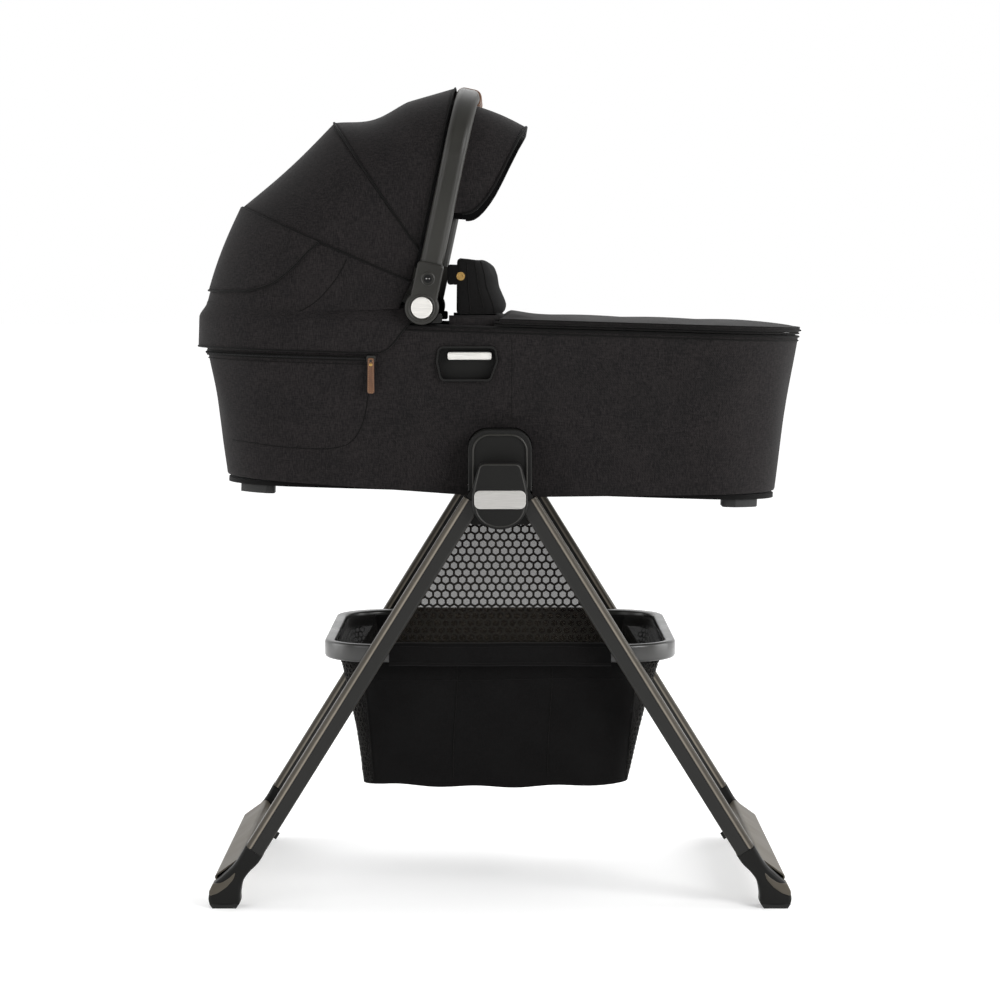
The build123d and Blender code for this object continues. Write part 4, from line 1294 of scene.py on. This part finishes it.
    def skirt(self) -> None:
        """The band that joins the hood to the cot's rim, with its curved front ends and stitched hem."""
        cot = self.cot
        middle = cot.side_steps + 2 * cot.corner_steps + cot.end_steps
        rows = []
        for share in np.linspace(0, 1, 16):
            plan = cot.outline(cot.rim_level, 0.0)
            plan = np.roll(plan, -middle, axis=0)
            plan = plan[plan[:, 0] < -118.0]
            rise = smoothstep(-182.0, -122.0, plan[:, 0]) ** 2 * 46.0
            low = 741.0 + rise
            level = low + share * (803.0 - low)
            draw_in = -2.7 + 10.5 * smoothstep(781, 803, level) + 0.4 * np.sin(lengths(plan) / 33.0)
            inward = unit(np.gradient(plan, axis=0))
            inward = np.stack([-inward[:, 1], inward[:, 0]], 1)
            rows.append(cot.raised(plan + inward * draw_in[:, None], level))
        rows = np.stack(rows)
        piece = thicken(Shape().grid(rows).build("canopy_band", self.finishes.melange), 1.6)
        declare_sheet(rows)
        settle_on(piece, "cot", "cot_fabric", "canopy_skirt")
        binding = Shape().tube(spaced(rows[0], 4.0), 1.3, 8)
        settle_on(binding.build("canopy_band_binding", self.finishes.binding), "cot", "black_fabric")

    def visor(self) -> None:
        """The sun visor ahead of the handle, with its bound front edge."""
        rows = self.panel(self.visor_back, self.visor_front, 14, lambda t: -2.5 * math.sin(math.pi * t))
        shape = Shape().grid(rows)
        f = self.finishes
        piece = thicken(shape.build("sun_visor", f.melange, f.underside), 1.8, -1.0, 0, 1)
        declare_sheet(rows)
        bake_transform(piece)
        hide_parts("visor")
        edge = Shape().tube(spaced(rows[-1], 4.0), 2.1, 10).build("visor_binding", f.binding)
        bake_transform(edge)

    def build(self) -> None:
        """Make the whole hood."""
        self.panels()
        self.piping()
        self.flap()
        self.skirt()
        self.visor()


# ------------------------------------------------------------------ handle, collar and small pieces
@dataclass
class Handle:
    """The carry handle's leather grip, sleeves and buttons."""

    finishes: Finishes
    axis: tuple[float, float] = (-105.0, 807.6)
    lean: float = math.radians(12.0)
    rise: float = 295.0
    grip_half: float = 96.0

    def at(self, y: np.ndarray | float, along: np.ndarray | float, ahead: np.ndarray | float) -> np.ndarray:
        """A point given across the cot, along the handle from its pivot, and ahead of it."""
        y, along, ahead = np.broadcast_arrays(np.asarray(y, float), along, ahead)
        x = self.axis[0] + along * math.sin(self.lean) + ahead * math.cos(self.lean)
        return np.stack([x, y, self.axis[1] + along * math.cos(self.lean) - ahead * math.sin(self.lean)], -1)

    def grip(self) -> None:
        """The stitched leather wrap round the top of the handle."""
        corners = [(-17.8, -12.4), (17.8, -12.4), (17.8, 14.6), (-17.8, 14.6)]
        section = rounded(corners, 11.0, 8)
        y = np.concatenate([[-self.grip_half, -self.grip_half + 0.8, -self.grip_half + 2.5],
                            np.linspace(-self.grip_half + 6, self.grip_half - 6, 60),
                            [self.grip_half - 2.5, self.grip_half - 0.8, self.grip_half]])
        near_end = np.clip((self.grip_half - np.abs(y)) / 6.0, 0, 1)
        size = 0.93 + 0.07 * np.sqrt(near_end) + 0.004 * np.sin(y / 6.1) + 0.003 * np.sin(y / 2.7)
        path = self.at(y, self.rise, 0.0)
        up = self.at(0.0, self.rise + 1, 0.0) - self.at(0.0, self.rise, 0.0)
        wrap = Shape().sweep(path, section, up, False, size)
        piece = wrap.build("leather_grip", self.finishes.leather)
        settle_on(piece, "handle", "leather", "handle_grip")
        thread = Shape()
        for ahead in (6.0, -6.0):
            line = self.at(np.linspace(5 - self.grip_half, self.grip_half - 5, 80), self.rise - 12.6, ahead)
            stitches(thread, line, 3.0, 1.6, 0.5)
        seam = self.at(np.linspace(-self.grip_half + 3, self.grip_half - 3, 60), self.rise - 12.5, 0.0)
        settle_on(thread.build("grip_stitching", self.finishes.thread), "handle", "leather")
        settle_on(Shape().tube(seam, 0.9, 8).build("grip_seam", self.finishes.leather), "handle", "leather")

    def sleeves(self) -> None:
        """The round catch in each sleeve, whose hole is a flat deep black disc of painted shade with two steel
        pins, and the ring round each fold button.
        """
        f = self.finishes
        turn = np.linspace(0, 2 * math.pi, 40, endpoint=False)
        rings, hole_shade_discs, glints = Shape(), Shape(), Shape()
        centre = self.at(0.0, 39.5, 0.0)
        for side in SIDES.values():
            for cx, cz, radius, out, thick in ((centre[0], centre[2], 8.6, 237.8, 1.1),
                                               (self.axis[0], self.axis[1], 17.4, 238.0, 1.0)):
                loop = np.stack([cx + radius * np.cos(turn), cz + radius * np.sin(turn)], 1)
                rings.tube(projected_flat(loop, side, out), thick, 8, True)
            # A flat deep black disc paints the shade inside each catch's hole.
            disc = np.stack([5.6 * np.cos(turn), 5.6 * np.sin(turn)], 1) + [centre[0], centre[2]]
            hole_shade_discs.slab(disc, flat_on_side(side), 236.5, 238.6, 0.6, 2)
            for shift in (-1.9, 1.9):
                dot = 0.95 * np.stack([np.cos(turn), np.sin(turn)], 1) + [centre[0] + shift, centre[2] + 0.4]
                glints.slab(dot, flat_on_side(side), 238.2, 239.2, 0.5, 2)
        settle_on(rings.build("sleeve_rings", f.satin), "handle", "black_plastic")
        settle_on(hole_shade_discs.build("sleeve_catch_hole_shade", f.deep_black_and_hole_shade), "handle", "black_plastic")
        settle_on(glints.build("catch_pins", f.steel), "handle", "steel")

    def build(self) -> None:
        """Make the handle's extra pieces."""
        self.grip()
        self.sleeves()


@dataclass
class WindCollar:
    """The padded wall between the boot cover and the hood, with its seams and straps."""

    finishes: Finishes
    nodes: dict[str, bpy.types.Object]
    bottom: float = 797.5
    height: float = 80.0

    def lean_back(self, points: np.ndarray) -> np.ndarray:
        """Slope the front of the collar backward, as its foam does."""
        rise = np.clip((points[:, 2] - self.bottom) / self.height, 0, 1)
        points = points.copy()
        points[:, 2] -= 1.5 * rise * smoothstep(-40, 7, points[:, 0])
        points[:, 0] -= self.set_back(points[:, 0], rise)
        return points

    def set_back(self, x: np.ndarray | float, rise: np.ndarray | float) -> np.ndarray:
        """How far back a point lies for its place and its share of the height."""
        shift = np.interp(rise, (0.1, 0.25, 0.49, 0.69, 0.88, 1.0), (0.0, 4.3, 12.6, 15.0, 20.0, 27.0))
        return smoothstep(-62, 7, x) * shift

    def base(self) -> None:
        """The cloth roll under the collar that closes the boot cover's front edge."""
        turn = np.linspace(0, math.pi / 2, 14)
        arm = np.stack([np.linspace(-69, -36, 12, endpoint=False), np.full(12, -207.0)], 1)
        bend = np.stack([-36 + 36 * np.sin(turn), -207 + 36 - 36 * np.cos(turn)], 1)
        half = np.vstack([arm, bend])
        plan = spaced(np.vstack([half, half[::-1] * [1, -1]]), 4.0)
        path = np.stack([plan[:, 0], plan[:, 1], np.full(len(plan), 788.6)], 1)
        section = rounded([(-7.5, -9.5), (7.5, -9.5), (6.5, 8.6), (-6.5, 8.6)], [2, 2, 5, 5], 5)
        piece = Shape().sweep(path, section, (0, 0, 1)).build("collar_base", self.finishes.melange)
        settle_on(piece, "cot", "cot_fabric")

    def build(self) -> None:
        """Fill the collar, then lay its piping and fasten its straps."""
        f = self.finishes
        piece = swell(copy_node(self.nodes["wind_collar"], "padded_collar", f.padding), 4.5, 4.0, 6.0, 1.6)
        move_points(piece, self.lean_back(points_of(piece)))
        settle_on(piece, "collar", "black_fabric", "wind_collar")
        seams = Shape()
        for x in (-40.0, -22.0, -8.0):
            line = np.array([(x - self.set_back(x, (z - self.bottom) / self.height), z)
                             for z in np.linspace(self.bottom + 3, self.bottom + self.height - 8, 30)])
            for side in SIDES.values():
                laid = projected(piece, line, side, 0.3)
                if len(laid) > 3:
                    seams.tube(laid, 0.9, 6)
        settle_on(seams.build("collar_seams", f.binding), "collar", "black_fabric")
        straps = Shape()
        for side in SIDES.values():
            outline = rounded([(-71, 838), (-46, 840), (-45, 865), (-71, 866)], 4)
            straps.slab(outline, flat_on_side(side), 212.4, 214.6, 0.9, 2, True)
        settle_on(straps.build("collar_straps", f.black_cloth), "collar", "black_fabric")
        self.base()


@dataclass
class ZipPull:
    """The leather tag on the long zip."""

    finishes: Finishes
    x: float = -174.0
    top: float = 740.0
    bottom: float = 692.0
    out: float = 225.6

    def build(self) -> None:
        """Cut the tag, rivet it and stitch round it."""
        corners = [(self.x - 4.9, self.bottom), (self.x + 4.9, self.bottom), (self.x + 4.2, self.top),
                   (self.x - 4.2, self.top)]
        outline = rounded(corners, 3.0, 5)
        tag = Shape().slab(outline, flat_on_side(-1.0), self.out, self.out + 2.2, 0.7, 2, True)
        settle_on(tag.build("leather_pull", self.finishes.leather), "zip_pull", "leather", "zip_pull")
        loop = inset(outline, 1.6)
        loop = np.vstack([loop, loop[:1]])
        path = np.stack([loop[:, 0], np.full(len(loop), -(self.out + 2.25)), loop[:, 1]], 1)
        row = stitches(Shape(), path, 1.7, 1.1, 0.3)
        settle_on(row.build("pull_stitching", self.finishes.thread), "zip_pull", "leather")
        turn = np.linspace(0, 2 * math.pi, 28, endpoint=False)
        dot = np.stack([2.3 * np.cos(turn), 2.3 * np.sin(turn)], 1) + [self.x, self.top - 9]
        rivet = Shape().slab(dot, flat_on_side(-1.0), self.out + 1.6, self.out + 3.2, 0.9, 3)
        settle_on(rivet.build("pull_rivet", self.finishes.brass), "zip_pull", "brass")


# ------------------------------------------------------------------ stand
@dataclass
class Stand:
    """The legs' shoes, the hub's beads, the basket ring, its bag and the side nets."""

    finishes: Finishes
    angle: float = 31.93
    pivot_x: float = 30.0
    pivot_z: float = 560.0
    tube_end: float = 574.0
    shoe_inner: float = 230.5
    shoe_width: float = 29.0
    rail: float = 340.0
    ring_half: float = 234.0
    ring_side: float = 221.0
    ring_corner: float = 73.0
    arm_end: float = 150.0
    far_spread: float = 1.1104

    def leg_point(self, end: float, along: float, across: float) -> tuple[float, float]:
        """A point on a leg in side view, along it from its pivot and across it to the outside."""
        a = math.radians(self.angle)
        x = end * (self.pivot_x + along * math.sin(a) + across * math.cos(a))
        return x, self.pivot_z - along * math.cos(a) + across * math.sin(a)

    def shoes(self) -> None:
        """The rounded shoes at the legs' feet, with the pale cap over each toe."""
        f = self.finishes
        inner, outer = self.shoe_inner, self.shoe_inner + self.shoe_width
        for name, end in ENDS.items():
            low = [(326.5, 59.5), (338.0, 48.0), (346.0, 36.0), (349.4, 20.0), (349.6, 9.0), (353.0, 3.2),
                   (361.0, 1.0), (382.0, 1.0), (389.6, 3.2), (392.3, 9.5), (392.3, 16.0), (390.0, 24.6),
                   (385.5, 32.9), (373.0, 44.0), (357.0, 60.0)]
            back, ahead = (self.leg_point(end, self.tube_end - 6, across) for across in (-13.8, 13.6))
            outline = curve_through([back] + [(end * x, z) for x, z in low] + [ahead], 2.0)
            cap = [(386.2, 33.6), (373.8, 35.3), (363.8, 42), (355.0, 50.5), (357.8, 39.7), (367.1, 29),
                   (379.1, 20.5), (391.4, 16.5), (391.6, 23)]
            lens = rounded([(end * x, z) for x, z in cap], [4, 20, 20, 1, 20, 20, 20, 3, 10], 5)
            shape, toe = Shape(), Shape()
            for side in SIDES.values():
                shape.slab(outline, flat_on_side(side), inner - 0.4, outer, 4.5, 5, True)
                toe.slab(lens, flat_on_side(side), inner - 1.2, outer + 0.7, 1.6, 3, True)
            piece = shape.build(f"{name}_shoes", f.textured)
            settle_on(piece, f"{name}_legs", "black_plastic", f"{name}_leg_shoes")
            settle_on(toe.build(f"{name}_toe_caps", f.taupe), f"{name}_legs", "leg_metal")

    def hub_beads(self) -> None:
        """The fine raised line round each hub cover and inside each dock."""
        f = self.finishes
        egg = rounded([(-27, 600), (27, 600), (36.6, 560), (31, 524), (0, 511.5), (-31, 524), (-36.6, 560)],
                      [9, 9, 60, 40, 40, 40, 60], 10)
        arch = rounded([(-36, 563), (-36, 637), (36, 637), (36, 563)], [0, 22, 22, 0], 12)
        covers, docks = Shape(), Shape()
        for side in SIDES.values():
            covers.tube(projected_flat(inset(egg, 1.4), side, 274.4), 0.95, 8, True)
            docks.tube(projected_flat(arch, side, 245.0), 1.3, 8)
        settle_on(covers.build("hub_cover_beads", f.satin), "hubs", "black_plastic")
        settle_on(docks.build("dock_beads", f.satin), "cot", "black_plastic")

    def ring_ends(self) -> None:
        """The glossy U-shaped ends of the basket ring."""
        section = rounded([(-7.2, -12.2), (7.2, -12.2), (7.2, 12.2), (-7.2, 12.2)], [6.0, 4.5, 4.0, 5.5], 6)
        for name, end in ENDS.items():
            turn = np.linspace(0, math.pi / 2, 22)
            bend = self.ring_corner
            near = np.stack([self.ring_half - bend + bend * np.sin(turn),
                             -self.ring_side + bend - bend * np.cos(turn)], 1)
            arm = np.stack([np.linspace(self.arm_end, self.ring_half - bend, 8, endpoint=False),
                            np.full(8, -self.ring_side)], 1)
            half = np.vstack([arm, near])
            plan = np.vstack([half, half[::-1] * [1, -1]])
            path = np.stack([end * plan[:, 0], plan[:, 1], np.full(len(plan), self.rail)], 1)
            path = spaced(path, 7.0)
            shape = Shape().sweep(path, section * [end, 1], (0, 0, 1))
            piece = shape.build(f"{name}_ring_end", self.finishes.gloss)
            settle_on(piece, f"{name}_rim", "ring_plastic", f"{name}_rim_end")

    def rail_covers(self) -> None:
        """The cloth sleeve along each side of the ring, between the legs."""
        f = self.finishes
        across = rounded([(-9.6, -16.5), (9.6, -16.5), (9.6, 14.5), (-9.6, 14.5)], [3, 3, 6, 6], 5)
        x = np.linspace(-150, 150, 90)
        for name, side in SIDES.items():
            sag = 0.5 * np.sin(x / 31.0) + 0.3 * np.sin(x / 11.0)
            path = np.stack([x, np.full(90, side * 220.2), self.rail + sag * 0.4], 1)
            piece = Shape().sweep(path, across, (0, 0, 1)).build(f"{name}_rail_cover", f.black_cloth)
            self.folding(piece, "links")
            hem = Shape()
            hem.tube(np.stack([x, np.full(90, side * 229.9), self.rail - 12.0 + sag], 1), 0.5, 6)
            hem.tube(np.stack([x, np.full(90, side * 229.9), self.rail + 9.5 + sag], 1), 0.5, 6)
            edges = hem.build(f"{name}_rail_cover_hem", f.binding)
            self.folding(edges, "links")

    def folding(self, piece: bpy.types.Object, body: str) -> None:
        """Make a soft piece ride on a body, with a mesh of its own."""
        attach(piece, body)
        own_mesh(piece)
        LOG.info("%s folds up with the stand", piece.name)

    def bag_outline(self, share: float) -> np.ndarray:
        """The bag's plan outline, from its top at 0 to its bottom at 1."""
        length = 226.0 + (181.0 - 226.0) * share**0.9
        width = 208.5 + (198.0 - 208.5) * share
        radius = 56.0 + (26.0 - 56.0) * share
        even = []
        for sx, sy, a in ((1, -1, -90), (1, 1, 0), (-1, 1, 90), (-1, -1, 180)):
            turn = np.radians(np.linspace(a, a + 90, 10, endpoint=False))
            centre = np.array([sx * (length - radius), sy * (width - radius)])
            even.append(centre + radius * np.stack([np.cos(turn), np.sin(turn)], 1))
            steps = 18 if sx * sy < 0 else 36
            reach = (width if sx * sy < 0 else length) - radius
            walk = np.linspace(-reach, reach, steps + 1)[:-1]
            if sx * sy < 0:
                even.append(np.stack([np.full(steps, sx * length), sx * walk], 1))
            else:
                even.append(np.stack([-sy * walk, np.full(steps, sy * width)], 1))
        return np.vstack(even)

    def bag_rows(self) -> np.ndarray:
        """The rows of the bag's wall and floor, sagging and a little wrinkled."""
        rows = []
        for share in np.linspace(0, 1, 26):
            plan = self.bag_outline(share)
            along = lengths(plan)
            slack = math.sin(math.pi * share)
            side = smoothstep(150, 195, np.abs(plan[:, 1]))
            out = slack * (1.6 * np.sin(along / 29.0 + 3 * share)
                           + 0.9 * np.sin(along / 13.0 - 2 * share) - 1.5)
            out = out + 2.0 * slack * side * np.cos(plan[:, 0] / 62.0 * math.pi)
            plan = inset_plan(plan, -out)
            droop = share**3 * (4.6 * np.cos(plan[:, 0] / 175.0 * math.pi / 2)
                                + 1.4 * np.sin(plan[:, 0] / 17.0))
            drift = plan[:, 0] - 6.0 * share**1.5
            rows.append(np.stack([drift, plan[:, 1], 345.0 - share * (345.0 - 159.0) - droop], 1))
        last = rows[-1]
        for share in (0.97, 0.85, 0.6, 0.3, 0.0):
            plan = last[:, :2] * share
            rows.append(np.stack([plan[:, 0], plan[:, 1], last[:, 2] * share + 156.5 * (1 - share) - 1.0], 1))
        return np.stack(rows)

    def bag(self) -> None:
        """The storage bag, solid on its long sides, with mesh ends, pocket seams and a bound top."""
        f = self.finishes
        rows = self.bag_rows()
        middle = (rows[:, :, 0] + np.roll(rows[:, :, 0], -1, 1)) / 2

        def cloth(i: int, j: int) -> int:
            """1 for the mesh ends and 0 for the woven sides and floor."""
            return 1 if abs(middle[i, j]) > 187 - 0.55 * i and i < 25 else 0

        shape = Shape().grid(rows, True, cloth)
        piece = thicken(shape.build("basket_bag_cloth", f.black_cloth, f.bag_mesh), 1.2)
        closed = np.concatenate([rows, rows[:, :1]], axis=1)
        declare_sheet(closed)
        self.folding(piece, "links")
        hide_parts("basket_bag")
        seams = Shape()
        for x in (-61.0, 68.0):
            for side in SIDES.values():
                line = np.array([(x + 3.0 * math.sin(z / 40.0), z) for z in np.linspace(168, 322, 50)])
                laid = projected(piece, line, side, 0.25)
                if len(laid) > 3:
                    seams.tube(laid, 0.8, 6)
        for side in SIDES.values():
            for end in ENDS.values():
                edge = np.array([(end * (186 - 14.0 * t), 322 - 158 * t) for t in np.linspace(0, 1, 50)])
                laid = projected(piece, edge, side, 0.25)
                if len(laid) > 3:
                    seams.tube(laid, 1.0, 6)
            hem = np.array([(x, 302.0 + 1.5 * math.sin(x / 60)) for x in np.linspace(-168, 168, 80)])
            seams.tube(projected(piece, hem, side, 0.2), 0.6, 6)
        binding = seams.build("basket_bag_seams", f.binding)
        self.folding(binding, "links")
        self.mesh_ends(rows)

    def mesh_ends(self, rows: np.ndarray) -> None:
        """The honeycomb net over the bag's open ends."""
        shape = Shape()
        n, m = 26, rows.shape[1]
        ring = np.concatenate([rows[:n], rows[:n, :1]], axis=1)
        along = lengths(ring[12])
        middle_x = ring[12][:, 0]

        def on_bag(points: np.ndarray) -> np.ndarray:
            """Lay flat points, given round the bag and down it, on the bag's wall."""
            column = np.interp(points[:, 0], along, np.arange(m + 1))
            row = np.clip(points[:, 1] / 184.0 * (n - 1), 0, n - 1.001)
            j, i = np.minimum(column.astype(int), m - 1), row.astype(int)
            u, v = (column - j)[:, None], (row - i)[:, None]
            low = ring[i, j] * (1 - u) + ring[i, j + 1] * u
            high = ring[i + 1, j] * (1 - u) + ring[i + 1, j + 1] * u
            return (low * (1 - v) + high * v) * [1.004, 1.004, 1]

        def at_end(end: float) -> Callable[[float, float], bool]:
            """Tells whether a cell's middle lies on the open part of one end."""
            return lambda a, b: np.interp(a, along, middle_x) * end > 188 and 8 < b < 176

        for end in ENDS.values():
            honeycomb(shape, (0.0, along[-1]), (0.0, 184.0), 7.6, 0.74, at_end(end), on_bag)
        piece = shape.build("basket_end_nets", self.finishes.net)
        self.folding(piece, "links")

    def nets(self) -> None:
        """The honeycomb nets between the legs, each with a fine backing and a bound edge."""
        f = self.finishes
        corners = [(-50, 516), (50, 516), (154, 350), (-154, 350)]
        out = 222.4

        def inside(a: float, b: float) -> bool:
            """Whether a cell's middle lies between the legs."""
            return 354 < b < 513 and abs(a) < 48 + (516 - b) * 0.6265

        def on_side(side: float) -> Callable[[np.ndarray], np.ndarray]:
            """A function that lays flat points on one side."""
            return lambda points: projected_flat(points, side, out)

        for name, side in SIDES.items():
            spread = 1.0 if side < 0 else self.far_spread
            shape = Shape()
            origin = (0.0, 838.0 - 408.0 * spread)
            honeycomb(shape, (-160, 160), (340, 520), 11.3 * spread, 0.74, inside, on_side(side), origin)
            lattice = thicken(shape.build(f"{name}_net", f.net), 0.7, 0.0)
            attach(lattice, "hubs")
            edge = np.array([(x, side * (out - 0.8), z) for x, z in corners])
            rows = np.stack([np.linspace(edge[3], edge[2], 30), np.linspace(edge[0], edge[1], 30)])
            rows = np.stack([rows[0] + (rows[1] - rows[0]) * t for t in np.linspace(0, 1, 20)])
            backing = Shape().grid(rows).build(f"{name}_net_backing", f.veil)
            tape = Shape()
            across = rounded([(-5, -0.6), (5, -0.6), (5, 0.6), (-5, 0.6)], 0.5, 2)
            for one, two in ((3, 0), (2, 1)):
                line = np.linspace(edge[one], edge[two], 20)
                tape.sweep(line, across, (0, side, 0))
            binding = tape.build(f"{name}_net_tape", f.binding)
            declare_sheet(rows)
            for piece, slot in ((lattice, "mesh"), (backing, "mesh"), (binding, "black_fabric")):
                self.folding(piece, "hubs")
            if name == "near":
                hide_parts("side_nets")

    def build(self) -> None:
        """Make every extra piece of the stand."""
        self.shoes()
        self.hub_beads()
        self.ring_ends()
        self.rail_covers()
        self.bag()
        self.nets()


def honeycomb(shape: Shape, across: tuple[float, float], down: tuple[float, float], pitch: float, hole: float,
              inside: Callable[[float, float], bool], place: Callable[[np.ndarray], np.ndarray],
              origin: tuple[float, float] = (0.0, 0.0)) -> None:
    """Add a net of six-sided holes.

    Args:
        shape: What it is added to.
        across: The range of its first coordinate.
        down: The range of its second coordinate.
        pitch: The distance between the middles of two holes.
        hole: The size of a hole as a share of its cell.
        inside: Whether a cell with a given middle is wanted.
        place: Lays flat points in space.
        origin: The middle of one hole.
    """
    turn = np.radians(np.arange(6) * 60 + 30)
    cell = pitch / math.sqrt(3) * np.stack([np.cos(turn), np.sin(turn)], 1)
    step = pitch * math.sqrt(3) / 2
    for row in range(math.floor((down[0] - origin[1]) / step), math.ceil((down[1] - origin[1]) / step) + 1):
        shift = pitch / 2 if row % 2 else 0.0
        first = math.floor((across[0] - origin[0]) / pitch)
        for column in range(first, math.ceil((across[1] - origin[0]) / pitch) + 1):
            middle = np.array([origin[0] + column * pitch + shift, origin[1] + row * step])
            if not inside(float(middle[0]), float(middle[1])):
                continue
            base = shape.add_points(place(np.vstack([middle + cell, middle + cell * hole])))
            shape.add_faces([(base + k, base + (k + 1) % 6, base + 6 + (k + 1) % 6, base + 6 + k)
                             for k in range(6)])


# ------------------------------------------------------------------ dressing the CAD nodes
@dataclass
class Dresser:
    """Gives the CAD nodes that stay in view their finishes."""

    finishes: Finishes
    nodes: dict[str, bpy.types.Object]

    def build(self) -> None:
        """Dress each node by its name."""
        f = self.finishes
        finish_of = {
            "leg_tubes": f.leg, "crossbar": f.taupe, "leg_knuckles": f.textured, "sole_pads": f.rubber,
            "leg_bumpers": f.rubber, "rim_pins": f.steel, "stretchers": f.satin, "link_rivets": f.steel,
            "stretcher_links": f.steel, "hub_frames": f.textured, "hub_covers": f.textured,
            "nameplates": f.plate, "hub_screws": f.steel, "leg_pivot_pins": f.steel,
            "base_tray": f.black_cloth, "base_feet": f.rubber, "rim_frame": f.textured,
            "docks": f.textured, "slot_bezels": f.textured, "pivot_brackets": f.textured,
            "canopy_rib_1": f.satin, "canopy_rib_2": f.satin, "handle_tube": f.satin,
            "handle_housings": f.satin, "fold_button": f.silver, "release_lever": f.silver,
            "latch_pawl": f.steel, "collar_snaps": f.brass, "zip_slider": f.satin,
        }
        for name, node in self.nodes.items():
            key = next((k for k in (name, name.partition("_")[2]) if k in finish_of), None)
            if key is None:
                continue
            node.data.materials.clear()
            node.data.materials.append(finish_of[key])
            node.data.shade_smooth()
            node.data.set_sharp_from_angle(angle=math.radians(30))
            if key == "sole_pads":
                bevel = node.modifiers.new("worn_edges", "BEVEL")
                bevel.width, bevel.segments, bevel.limit_method = 2.6 * MM, 3, "ANGLE"
        LOG.info("dressed the CAD nodes")


def main() -> None:
    """Load the frame and build the bassinet round it."""
    logging.basicConfig(level=logging.INFO, format="%(message)s")
    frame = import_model()
    Studio().build()
    finishes = Finishes()
    nodes = frame["nodes"]
    Dresser(finishes, nodes).build()
    cot = Cot(finishes, nodes)
    for maker in (cot, Canopy(finishes, cot), Handle(finishes), WindCollar(finishes, nodes),
                  ZipPull(finishes), Stand(finishes)):
        maker.build()
        LOG.info("%s is done", type(maker).__name__)


if __name__ == "__main__":
    main()
